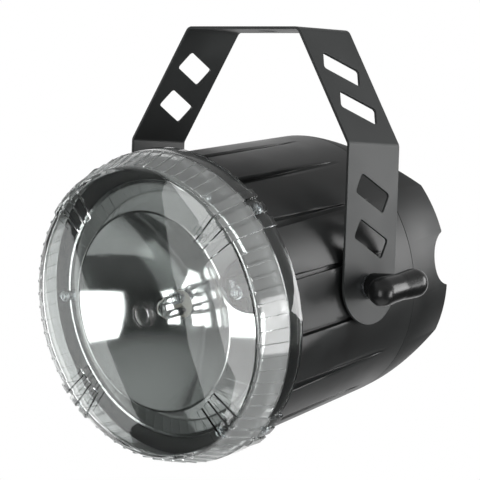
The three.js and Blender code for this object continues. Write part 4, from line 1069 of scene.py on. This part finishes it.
HOLE_MIDDLE_Y, HOLE_DEPTH = 61.0, 12.0
VENT_HALF, VENT_TOP_Z, VENT_LOW_Z, VENT_PITCH = 1.5, -3.5, -20.5, 7.0


def plate_hole(radius, place, segments=48):
    bm = bmesh.new()
    bmesh.ops.create_cone(
        bm, cap_ends=True, segments=segments, radius1=radius * MM, radius2=radius * MM,
        depth=HOLE_DEPTH * MM,
    )
    return moved(bm, shift(place[0], HOLE_MIDDLE_Y, place[1]) @ Matrix.Rotation(math.pi / 2, 4, "X"))


def vent_cutter(x):
    half = [math.pi * k / 12 for k in range(13)]
    ends = [(VENT_HALF * math.cos(a), VENT_TOP_Z + VENT_HALF * math.sin(a)) for a in half]
    ends += [(-u, VENT_LOW_Z + VENT_TOP_Z - v) for u, v in ends]
    place = shift(x, HOLE_MIDDLE_Y + HOLE_DEPTH / 2, 0) @ Matrix.Rotation(math.pi / 2, 4, "X")
    return moved(prism(ends, HOLE_DEPTH), place)


REAR_SCREWS = [
    (REAR_SCREW_R * math.cos(math.radians(t)), REAR_SCREW_R * math.sin(math.radians(t)))
    for t in REAR_TURNS
]
holes = [plate_hole(3.8, (0, 18)), plate_hole(6.3, (-28, -20)), plate_hole(6.3, (28, -20))]
holes += [plate_hole(SCREW_BORE_R, place, 24) for place in REAR_SCREWS]
holes += [vent_cutter(k * VENT_PITCH) for k in range(-2, 3)]
print(len(holes), "cutters for holes")

# %% [markdown]
# The exact boolean step now and then loses the cap's wall, so the volume is looked at and the
# carving is done again if it is too small. The cutters leave knife edges, which a moulding never
# has, so a narrow bevel breaks them.

# %% Hollow the cap
LEAST_CAP_VOLUME, MOST_CARVINGS = 70e-6, 5
inside = sliced(spun([(0, 33), (65.5, 33), (65.5, PLATE_FRONT_Y), (0, PLATE_FRONT_Y)], 256), SLOPE_WALL)
recess = sliced(spun([
    (0, PLATE_BACK_Y), (rear_radius(PLATE_BACK_Y) - 2.5, PLATE_BACK_Y),
    (rear_radius(80) - 2.5, 80), (0, 80),
], 256), SLOPE_WALL)
cutters = [inside, recess, bite_cutter(), *holes]
for attempt in range(MOST_CARVINGS):
    cap = carved(outer.copy(), *[cutter.copy() for cutter in cutters])
    if cap.calc_volume() > LEAST_CAP_VOLUME:
        break
print("cap volume", round(cap.calc_volume() * 1e6, 2), "cm3 after", attempt + 1, "carvings")
bmesh.ops.dissolve_limit(
    cap, angle_limit=math.radians(0.5), verts=cap.verts[:], edges=cap.edges[:]
)
rear_cover = finished("rear_cap", mended(cap), "lamp", HOUSING_ABS, ["rear_cover"], sharp=28)
soften = rear_cover.modifiers.new("broken_edges", "BEVEL")
soften.width, soften.segments, soften.limit_method = 0.35 * MM, 2, "ANGLE"
soften.angle_limit = math.radians(35)
print("rear cover hollowed")

# %% [markdown]
# ## The clamp knobs
# A moulded T-bar with a narrow waist flows into its stem. Two turned bodies are put together,
# and a voxel remesh melts the join into the soft corner that a mould leaves.

# %% Shape one knob
KNOB_HALF_LENGTH, KNOB_END_R, KNOB_X = 20.0, 7.7, 96.0
STEM_R, STEM_FOOT_X = 7.0, 78.4
KNOB_TURN = math.radians(-0.8)


def knob_body():
    end_middle = KNOB_HALF_LENGTH - KNOB_END_R
    quarter = [math.pi / 2 * k / 8 for k in range(9)]
    bar = spun(
        [(KNOB_END_R * math.sin(a), -end_middle - KNOB_END_R * math.cos(a)) for a in quarter]
        + [(7.45, -7), (7.1, 0), (7.45, 7)]
        + [(KNOB_END_R * math.cos(a), end_middle + KNOB_END_R * math.sin(a)) for a in quarter[:-1]]
        + [(0, KNOB_HALF_LENGTH)], 64)
    moved(bar, shift(KNOB_X, 0, 0))
    stem = spun([(0, STEM_FOOT_X), (STEM_R, STEM_FOOT_X, 0.4), (STEM_R, KNOB_X), (0, KNOB_X)], 64)
    return joined(bar, moved(stem, Matrix.Rotation(-math.pi / 2, 4, "Z")))


def melted(bm, voxel):
    obj = linked("melting", as_mesh(bm, "melting"))
    remesh = obj.modifiers.new("melt", "REMESH")
    remesh.mode, remesh.voxel_size = "VOXEL", voxel
    result = bmesh.new()
    result.from_mesh(obj.evaluated_get(bpy.context.evaluated_depsgraph_get()).to_mesh())
    bpy.data.objects.remove(obj)
    for _ in range(4):
        bmesh.ops.smooth_vert(
            result, verts=result.verts[:], factor=0.5, use_axis_x=True, use_axis_y=True,
            use_axis_z=True,
        )
    return result


for side, turn in (("right", 0.0), ("left", math.pi)):
    knob = melted(knob_body(), 0.6 * MM)
    place = LAMP @ Matrix.Rotation(KNOB_TURN, 4, "X") @ Matrix.Rotation(turn, 4, "Z")
    finished("clamp_grip_" + side, knob, "knob_" + side, KNOB_NYLON, ["clamp_knob_" + side], place)

# %% [markdown]
# ## The flash tube
# A U of quartz tube stands out upright along the bowl's axis. A fine trigger wire goes round one leg.

# %% Bend the tube
TUBE_R, LEG_Z, TUBE_ROOT_Y, TUBE_BEND_Y = 2.2, 3.7, -52.3, -72.1


def hairpin(radius, wall_steps=20):
    """A round section swept up one leg, round the bend and down the other leg."""
    bm = bmesh.new()
    bmesh.ops.create_circle(bm, segments=wall_steps, radius=radius * MM, cap_ends=True)
    moved(bm, shift(0, TUBE_ROOT_Y, LEG_Z) @ Matrix.Rotation(math.pi / 2, 4, "X"))
    leg = TUBE_BEND_Y - TUBE_ROOT_Y
    top = faces_of(pushed(bm, bm.faces[:], (0, leg, 0)))
    made = bmesh.ops.spin(
        bm, geom=top, cent=(0, TUBE_BEND_Y * MM, 0), axis=(1, 0, 0), angle=math.pi, steps=16,
        use_merge=False,
    )["geom_last"]
    pushed(bm, faces_of(made), (0, -leg, 0))
    ends = [Vector((0, TUBE_ROOT_Y, z)) * MM for z in (LEG_Z, -LEG_Z)]
    return only_end_caps(bm, wall_steps, ends)


finished("flash_tube_glass", hairpin(TUBE_R), "lamp", GLASS, ["flash_tube"])

# %% [markdown]
# The tube's legs stand in a ceramic holder that closes the hole in the bowl. Its face lies flush
# with the metal. Inside each leg a tungsten electrode on a thin wire feeds the spark, so the
# legs look grey at their roots.

# %% Tube holder and electrodes
HOLDER_FACE_Y, HOLDER_NECK_R = -58.0, 7.1
holder = carved(
    spun([(0, HOLDER_FACE_Y), (HOLDER_NECK_R, HOLDER_FACE_Y, 0.3), (HOLDER_NECK_R, -56.0),
          (15, -56.0, 0.5), (15, -53.0, 0.5), (11, -53.0, 0.5), (11, -38.0, 0.5), (0, -38.0)], 96),
    *[bar_along(2.5, -60, -52, (0, side * LEG_Z)) for side in (1, -1)],
)
finished("tube_base", holder, "lamp", CERAMIC, ["tube_holder"])
electrodes = joined(*[
    bar_along(radius, start_y, end_y, (0, side * LEG_Z), 24, 0.1)
    for side in (1, -1) for radius, start_y, end_y in ((1.2, -62.5, -59.0), (0.5, -59.2, -52.5))
])
finished("electrodes", electrodes, "lamp", TUNGSTEN)

# %% [markdown]
# The trigger wire is a round section swept along a helix: each step turns the end face about the
# leg and moves it forward, which is what the spin operator does when it is given a shift.

# %% Wind the trigger wire
WIRE_R, WIND_R, WIRE_TURNS, WIRE_PITCH, WIRE_FRONT_Y = 0.35, 2.85, 3, 2.4, -66.4


def wound_wire():
    bm = bmesh.new()
    bmesh.ops.create_circle(bm, segments=12, radius=WIRE_R * MM, cap_ends=True)
    moved(bm, shift(WIND_R, WIRE_FRONT_Y, LEG_Z))
    steps = 32 * WIRE_TURNS
    made = bmesh.ops.spin(
        bm, geom=bm.faces[:], cent=(0, 0, LEG_Z * MM), axis=(0, -1, 0), use_merge=False,
        dvec=(0, WIRE_PITCH * WIRE_TURNS / steps * MM, 0), angle=2 * math.pi * WIRE_TURNS, steps=steps,
    )["geom_last"]
    end = faces_of(made)
    turned = bmesh.ops.extrude_face_region(bm, geom=end)["geom"]
    verts = points_of(turned)
    middle = sum((v.co for v in verts), Vector()) / len(verts)
    bmesh.ops.rotate(
        bm, verts=verts, cent=middle, matrix=Matrix.Rotation(math.pi / 2, 3, "X")
    )
    last = Vector((WIND_R, HOLDER_FACE_Y - 0.1, LEG_Z)) * MM
    bmesh.ops.translate(bm, verts=verts, vec=last - middle)
    return only_end_caps(bm, 12, [Vector((WIND_R, WIRE_FRONT_Y, LEG_Z)) * MM, last])


finished("wire_helix", wound_wire(), "lamp", ZINC, ["trigger_wire"])

# %% [markdown]
# ## Screws and the ring terminal
# All the screws are zinc-plated pan heads with a cross recess: a low domed head, and a cross of
# two tapered slots pressed into it.

# %% Shape a screw
def pan_screw(length):
    """A screw along Y: head towards -Y, seat at 0."""
    head = spun([
        (0, -2.1), (1.5, -2.02, 1.5), (2.6, -1.55, 0.9), (3.0, -0.6, 0.4), (3.0, 0, 0.15),
        (1.4, 0, 0.1), (1.4, length - 1.2, 0.3), (0, length),
    ], 48)
    cross = []
    for k in range(2):
        slot = box((-1.7, -3, -0.4), (1.7, -0.9, 0.4))
        for v in slot.verts:
            if v.co.y > -2 * MM:
                v.co.x *= 0.45
        cross.append(moved(slot, Matrix.Rotation(math.radians(20 + 90 * k), 4, "Y")))
    return carved(head, *cross)


SCREW_PLACES = {}
for k in range(4):
    SCREW_PLACES[f"cover_screw_{k + 1}"] = (9, swing(39.5 + 90 * k) @ shift(
        81.6, -64.45, 0) @ Matrix.Rotation(math.pi / 2, 4, "Z"))
    SCREW_PLACES[f"rear_screw_{k + 1}"] = (16, swing(REAR_TURNS[k]) @ shift(
        REAR_SCREW_R, 62.8, 0) @ Matrix.Rotation(math.pi, 4, "X"))
for k, turn in enumerate(REFLECTOR_SCREW_TURNS):
    SCREW_PLACES[f"reflector_screw_{k + 1}"] = (
        9, swing(turn) @ shift(REFLECTOR_SCREW_R, -72.8, 0))
SCREW_PLACES["terminal_screw"] = (9, swing(TONGUE_TURN) @ shift(TONGUE_SCREW_R, -77.9, 0))
for node, (length, place) in SCREW_PLACES.items():
    finished("pan_" + node, pan_screw(length), "lamp", ZINC, [node], LAMP @ place)

# %% [markdown]
# The ring terminal is a tinned tag under its screw, with a barrel that is crimped round the wire's
# end. Two dents from the crimping tool mark the barrel.

# %% Shape the terminal
def terminal():
    tag = spun([(1.75, -77.6, 0.1), (3.8, -77.6, 0.15), (3.8, -76.8, 0.15), (1.75, -76.8, 0.1)], 64)
    barrel = moved(
        bar_along(1.7, 2.9, 7.0, segments=32, fillet=0.3), Matrix.Rotation(math.pi / 2, 4, "X")
    )
    dents = [moved(across(0.9, -3, 3, 0), shift(0, -1.9, z)) for z in (4.4, 5.9)]
    barrel = moved(carved(barrel, *dents), shift(0, -78.3, 0))
    return combined(tag, "UNION", barrel)


finished(
    "ring_tag", terminal(), "lamp", ZINC, ["ring_terminal"],
    LAMP @ swing(TONGUE_TURN) @ shift(TONGUE_SCREW_R, 0, 0),
)

# %% [markdown]
# ## The controls in the rear plate
# A fluted knob with a white line sets the flash rate. The line is paint in a shallow groove.

# %% Rate knob
RATE_PLACE, FUSE_PLACE, GLAND_PLACE = (0, 18), (-28.025, -20.014), (28.025, -20.014)


def rate_knob():
    body = spun([
        (2.9, 67.1, 0.1), (11, 67.1, 0.2), (11, 68.3, 0.3), (10.1, 75.1, 0.8), (9.3, 76.1, 0.6),
        (0, 75.9), (0, 74.1), (2.9, 74.1, 0.1),
    ], 192)
    flutes = [
        moved(bar_along(1.3, 68.6, 80, (11.2, 0), 24, 0.4), swing(15 + 30 * k)) for k in range(12)
    ]
    return carved(body, *flutes, box((-0.7, 75.4, 0), (0.7, 80, 12)))


def on_plate(place):
    return LAMP @ shift(place[0], 0, place[1])


finished(
    "fluted_knob", mended(rate_knob()), "rate_control", KNOB_NYLON, ["rate_knob"],
    on_plate(RATE_PLACE),
)
line = box((-0.6, 75.45, 0.6), (0.6, 75.85, 9.0))
finished("painted_line", line, "rate_control", WHITE_PAINT, (), on_plate(RATE_PLACE))

# %% [markdown]
# The fuse holder has a flange and a cap with a screwdriver slot. The gland is a hexagon body with
# a domed nut that closes on the cord. The nut's sides have grips for the fingers.

# %% Fuse holder and gland
fuse_body = spun([
    (3.5, 38.0, 0.1), (6, 38.0, 0.2), (6, 62.8, 0.1), (8, 62.8, 0.2), (8, 64.8, 0.6),
    (3.5, 64.8, 0.2),
], 96)
finished("fuse_tube", fuse_body, "lamp", KNOB_NYLON, ["fuse_holder"], on_plate(FUSE_PLACE))
fuse_cap = carved(
    spun([(0, 58.6), (3.2, 58.6, 0.3), (3.2, 65.1, 0.2), (6.6, 65.1, 0.3), (6.6, 72.7, 0.8),
          (0, 72.7)], 96),
    box((-9, 70.9, -0.8), (9, 75, 0.8)),
    *[moved(bar_along(0.5, 66.2, 76, (6.75, 0), 16, 0.1), swing(18 * k)) for k in range(20)],
)
finished("fuse_turn_cap", fuse_cap, "fuse_carrier", KNOB_NYLON, ["fuse_cap"], on_plate(FUSE_PLACE))
gland = carved(
    combined(spun([(0, 62.8), (9, 62.8, 0.4), (9, 66.8, 0.4), (0, 66.8)], 6), "UNION",
             bar_along(6, 51, 66.7, segments=96, fillet=0.4)),
    bar_along(3.6, 50, 68, segments=64),
)
finished("gland_body", gland, "lamp", KNOB_NYLON, ["cable_gland"], on_plate(GLAND_PLACE))
dome = carved(
    spun([(3.7, 67.1, 0.2), (7.6, 67.1, 0.3), (7.6, 70.6, 1.0), (6.4, 73.0, 1.6), (4.6, 74.1, 0.3),
          (3.9, 74.1, 0.2), (3.9, 70.5)], 96),
    *[moved(bar_along(0.7, 67.9, 72.5, (7.9, 0), 16, 0.2), swing(30 * k)) for k in range(12)],
)
finished("gland_dome", dome, "lamp", KNOB_NYLON, ["gland_dome_nut"], on_plate(GLAND_PLACE))

# %% [markdown]
# ## The studio
# A plain pale floor lies well under the hanging lamp. What the camera sees behind the lamp is
# white. Five softboxes light it: one in front, two on the left that the bowl mirrors, one at the
# right side and one behind, which draws the bright line along the shell.

# %% Floor
def floor_material():
    m = blank("pale_floor")
    cloud = add(m, "ShaderNodeTexNoise", {"Scale": 4.0}, Vector=place_on(m))
    pale = add(
        m, "ShaderNodeValToRGB", {"stops": [(0.3, grey(0.78)), (0.7, grey(0.82))]},
        Fac=cloud.outputs["Fac"],
    )
    return surface_of(m, {"Roughness": 0.7}, Base_Color=pale.outputs["Color"])


FLOOR_Z = -1.7
ground = bmesh.new()
bmesh.ops.create_grid(ground, x_segments=2, y_segments=2, size=0.9)
bmesh.ops.translate(ground, verts=ground.verts[:], vec=(0, 0, FLOOR_Z))
floor_mesh = as_mesh(ground, "floor")
floor_mesh.materials.append(floor_material())
linked("floor", floor_mesh)
print("floor at", FLOOR_Z)

# %% [markdown]
# The bowl mirrors the whole room, so the room has a shade for each height. A softbox's glow is
# how bright its cloth looks, which keeps a mirrored box as white as it is, whatever its size.

# %% World and lamps
def studio_world():
    """White where the backdrop hangs, behind the lamp, and a dim room on the camera's side."""
    world = bpy.data.worlds.new("studio")
    world.use_nodes = True
    tree = world.node_tree
    tree.nodes.clear()
    place = add(world, "ShaderNodeTexCoord").outputs["Generated"]
    along = add(world, "ShaderNodeVectorMath", {"operation": "DOT_PRODUCT"})
    tree.links.new(place, along.inputs[0])
    along.inputs[1].default_value = camera.matrix_world.to_3x3() @ Vector((0, 0, -1))
    edge = add(
        world, "ShaderNodeMapRange",
        {"interpolation_type": "SMOOTHSTEP", "From Min": 0.7, "From Max": 0.88},
        Value=along.outputs["Value"],
    )
    seen = add(world, "ShaderNodeMath", {"operation": "MAXIMUM"})
    tree.links.new(add(world, "ShaderNodeLightPath").outputs["Is Camera Ray"], seen.inputs[0])
    tree.links.new(edge.outputs["Result"], seen.inputs[1])
    height = add(world, "ShaderNodeSeparateXYZ", Vector=place)
    share = add(world, "ShaderNodeMapRange", {"From Min": -1.0}, Value=height.outputs["Z"])
    ramp = add(
        world, "ShaderNodeValToRGB",
        {"stops": [(position, grey(level)) for position, level in ROOM_LIGHT]},
        Fac=share.outputs["Result"],
    )
    room = add(world, "ShaderNodeBackground", Color=ramp.outputs["Color"])
    white = add(world, "ShaderNodeBackground", {"Color": grey(1.0), "Strength": 1.0})
    mix = add(world, "ShaderNodeMixShader", Fac=seen.outputs["Value"])
    tree.links.new(room.outputs["Background"], mix.inputs[1])
    tree.links.new(white.outputs["Background"], mix.inputs[2])
    add(world, "ShaderNodeOutputWorld", Surface=mix.outputs["Shader"])
    bpy.context.scene.world = world


# the room from straight below (0) over level (0.5) to straight above (1): dark low, pale above
ROOM_LIGHT = [
    (0.0, 0.14), (0.12, 0.1), (0.27, 0.03), (0.5, 0.05), (0.62, 0.3), (0.8, 0.45), (1.0, 0.35),
]


def softbox(name, azimuth, elevation, size, glow, lean=0):
    """A rectangular softbox that faces the lamp."""
    lamp = bpy.data.lights.new(name, "AREA")
    lamp.shape, lamp.size, lamp.size_y = "RECTANGLE", size[0], size[1]
    lamp.energy = glow * math.pi * size[0] * size[1]
    obj = linked(name, lamp)
    a, e = math.radians(azimuth), math.radians(elevation)
    way = Vector((math.sin(a) * math.cos(e), -math.cos(a) * math.cos(e), math.sin(e)))
    middle = Vector((0, 0, -PIVOT_DROP))
    obj.location = middle + way * SOFTBOX_DISTANCE
    obj.rotation_mode = "QUATERNION"
    obj.rotation_quaternion = (-way).to_track_quat("-Z", "Y") @ Quaternion(
        (0, 0, 1), math.radians(lean)
    )
    return obj


studio_world()
SOFTBOX_DISTANCE = 1.5
softbox("softbox_front", 25, -14, (0.55, 0.97), 4.0)
softbox("softbox_left", -73, -17, (1.03, 0.72), 4.0)
softbox("softbox_middle", -29, -17, (0.4, 0.68), 4.0)
softbox("softbox_rim", 143, 12, (0.38, 0.9), 8.0, -20)
softbox("softbox_side", 109, -12, (0.5, 0.9), 8.0)
bpy.context.scene.view_settings.view_transform = "Standard"
print("five softboxes")
